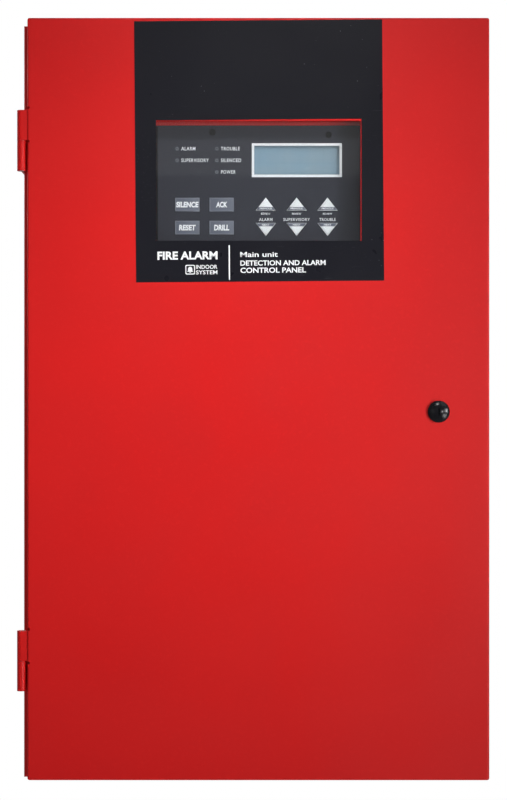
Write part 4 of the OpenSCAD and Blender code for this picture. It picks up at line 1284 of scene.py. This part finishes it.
def make_coil():
    """Windings under tape, between the flanges of their bobbin."""
    low, high = box("transformer_coil")
    mid, half = (low + high) / 2, (high - low) / 2
    coil = Shape()

    def slab(bottom, top, shrink_x, shrink_y, radius, soft, mat=0, steps=6):
        outline = rounded(mid.x, -mid.y, half.x - shrink_x, half.y - shrink_y, radius, steps)
        coil.prism(outline, bottom, top, soft, mat, UPRIGHT)

    slab(low.z + 1.4, high.z - 1.4, 0.5, 0.5, 6, 0.5)
    for start, end, shrink in ((0.08, 0.42, 0.2), (0.55, 0.92, 0.05)):
        slab(low.z + 2 * half.z * start, low.z + 2 * half.z * end, shrink, 0.2, 6, 0.1)
    for bottom in (low.z, high.z - 1.5):
        slab(bottom, bottom + 1.5, 0, 0, 3, 0.2, 1, 4)
    coil.tile((mid.x, mid.z), (14, 9), low.y + 0.2, low.y - 0.05, 0, 2)
    piece("coil_windings", coil, [TAPE, BLACK, SILK], "transformer_coil")


def make_battery(name):
    """Sealed battery: case with a rounded lid, vent caps and a plain printed label."""
    low, high = box(name)
    mid, half = (low + high) / 2, (high - low) / 2
    lid = high.z - 22
    case = Shape()

    def slab(bottom, top, shrink, radius, soft):
        outline = rounded(mid.x, -mid.y, half.x - shrink, half.y - shrink, radius, 4)
        case.prism(outline, bottom, top, soft, 0, UPRIGHT)

    slab(low.z, lid - 1, 0, 3, 0.8)
    slab(lid - 1.2, lid + 0.2, 0.9, 2.4, 0)
    slab(lid, high.z - 1.5, 0, 3, 0.5)
    slab(high.z - 3, high.z, 2.2, 3, 0.8)
    for k in range(6):
        x, y = mid.x + (k - 2.5) * 23, mid.y + 6
        case.rod((x, y, high.z - 0.2), (x, y, high.z), 7.5, soft=0.05, sides=32)
    left, right = mid.x - half.x + 16, mid.x + half.x - 16
    paper, ink = low.y - 0.15, low.y - 0.17
    case.block((left, paper, low.z + 38), (right, low.y + 0.1, lid - 22), 0, 1)
    case.block((left, ink, lid - 40), (right, paper + 0.02, lid - 22), 0, 2)
    case.words("RECHARGEABLE BATTERY", mid.x, lid - 34, ink, 6, 112, 0.02, middle=True, mat=3, thick=0.02)
    case.words("12 V", mid.x, lid - 62, paper, 13, 36, 0.03, middle=True, mat=2, thick=0.02)
    for k, width in enumerate((92, 78, 84)):
        case.tile((mid.x, low.z + 46.8 + 5 * k), (width / 2, 0.8), paper + 0.02, ink, 0, 2)
    piece(name + "_case", case, [BATTERY, BATTERY_LABEL, BATTERY_BAND, SILK], name)


def make_battery_tabs():
    """Blade tabs in coloured wells, and the sleeved sockets pushed over them."""
    tabs = Shape()
    for low, high in solids("battery_terminals"):
        x, y = (low.x + high.x) / 2, (low.y + high.y) / 2
        red_lead = x > 160
        positive = red_lead or -40 < x < 0
        tabs.block((x - 7.5, y - 6, low.z - 0.5), (x + 7.5, y + 6, low.z + 1.2), 0.5, 1 if positive else 2)
        tabs.block((x - 3.2, y - 0.4, low.z), (x + 3.2, y + 0.4, high.z - 2), 0.1)
        tabs.block((x - 4.2, y - 2.4, low.z + 3.2), (x + 4.2, y + 2.4, high.z + 4.5), 1.6,
                   1 if red_lead else 2)
    piece("battery_tabs", tabs, [TINNED, WIRE_RED, WIRE_BLACK], "battery_terminals")


def make_leads():
    """Leads from the batteries and the transformer to the circuit board."""
    for name, route, material, node in (
        ("lead_black", LEAD_BLACK, WIRE_BLACK, "battery_lead_black"),
        ("lead_red", LEAD_RED, WIRE_RED, "battery_lead_red"),
        ("lead_jumper", LEAD_JUMPER, WIRE_BLACK, "battery_jumper"),
    ):
        piece(name, Shape().tube(smooth_path(route, 8), 1.75, 16), [material], node)
    pair = Shape()
    for rise in (0, 6):
        route = [Vector(p) + Vector((0, 0, rise)) for p in LEAD_TRANSFORMER]
        pair.tube(smooth_path(route, 6), 1.2, 14)
    piece("leads_transformer", pair, [WIRE_ORANGE], "transformer_leads")


def make_ribbon():
    """Flat cable of twenty wires, one of them marked, with its two plugs."""
    x = middle("ribbon_cable").x
    path = smooth_path(CABLE, 6)
    cable = Shape()
    for k in range(CABLE_WIRES):
        aside = Vector((x + (k - (CABLE_WIRES - 1) / 2) * CABLE_PITCH, 0, 0))
        cable.tube([p + aside for p in path], 0.5 * CABLE_PITCH + 0.02, 8, 1 if k == 0 else 0)
    socket = box("display_board")[1].y
    for front, back, z in ((socket, CABLE[0][1], 140), (PLUG_TOP, BOARD_FRONT, 104)):
        cable.block((x - 15, front, z - 4), (x + 15, back, z + 4), 0.4, 2)
        cable.block((x - 13.6, front + 2, z - 4.3), (x + 13.6, back - 2, z + 4.3), 0.2, 2)
    piece("flat_cable", cable, [RIBBON, WIRE_RED, BLACK], "ribbon_cable")


def make_switches():
    """Tact switches under the keys: steel cover, corner dimples and a sunk plunger."""
    places = solids("tact_switches")
    size = places[0][1] - places[0][0]
    half, tall = size.x / 2, size.y
    body, well = Shape(), Shape()
    body.tile((0, 0), (half, half), tall, 0.5)
    body.tile((0, 0), (half - 0.1, half - 0.1), 0.6, 0, 0.1, 1)
    well.rod((0, -1, 0), (0, 2, 0), 1.9, soft=0)
    switch = carved(body, well)
    switch.rod((0, 2.1, 0), (0, 1.3, 0), 1.6, soft=0.2)
    for x in (-2.2, 2.2):
        for z in (-2.2, 2.2):
            switch.rod((x, 0.1, z), (x, -0.15, z), 0.5, sides=12)
    switches = Shape()
    for low, high in places:
        x, z = centre(low, high)
        switches.stamp(switch, placed(x, low.y, z))
    piece("switch_bodies", switches, [BLACK, TINNED], "tact_switches")


make_mains_block()
make_earth_stud()
make_coil()
make_battery("battery_left")
make_battery("battery_right")
make_battery_tabs()
make_leads()
make_ribbon()
make_switches()


# ---- Stage ----

FLOOR_RADIUS = 1350
FLOOR_Z = -750


def make_floor():
    """Round pale floor below the panel, which hangs on a wall."""
    mesh = bpy.data.meshes.new("floor")
    bm = bmesh.new()
    bmesh.ops.create_circle(bm, cap_ends=True, segments=96, radius=FLOOR_RADIUS * MM)
    bm.to_mesh(mesh)
    bm.free()
    mesh.materials.append(pale_floor())
    floor = bpy.data.objects.new("floor", mesh)
    floor.location = (0, 0, FLOOR_Z * MM)
    bpy.context.scene.collection.objects.link(floor)


make_floor()
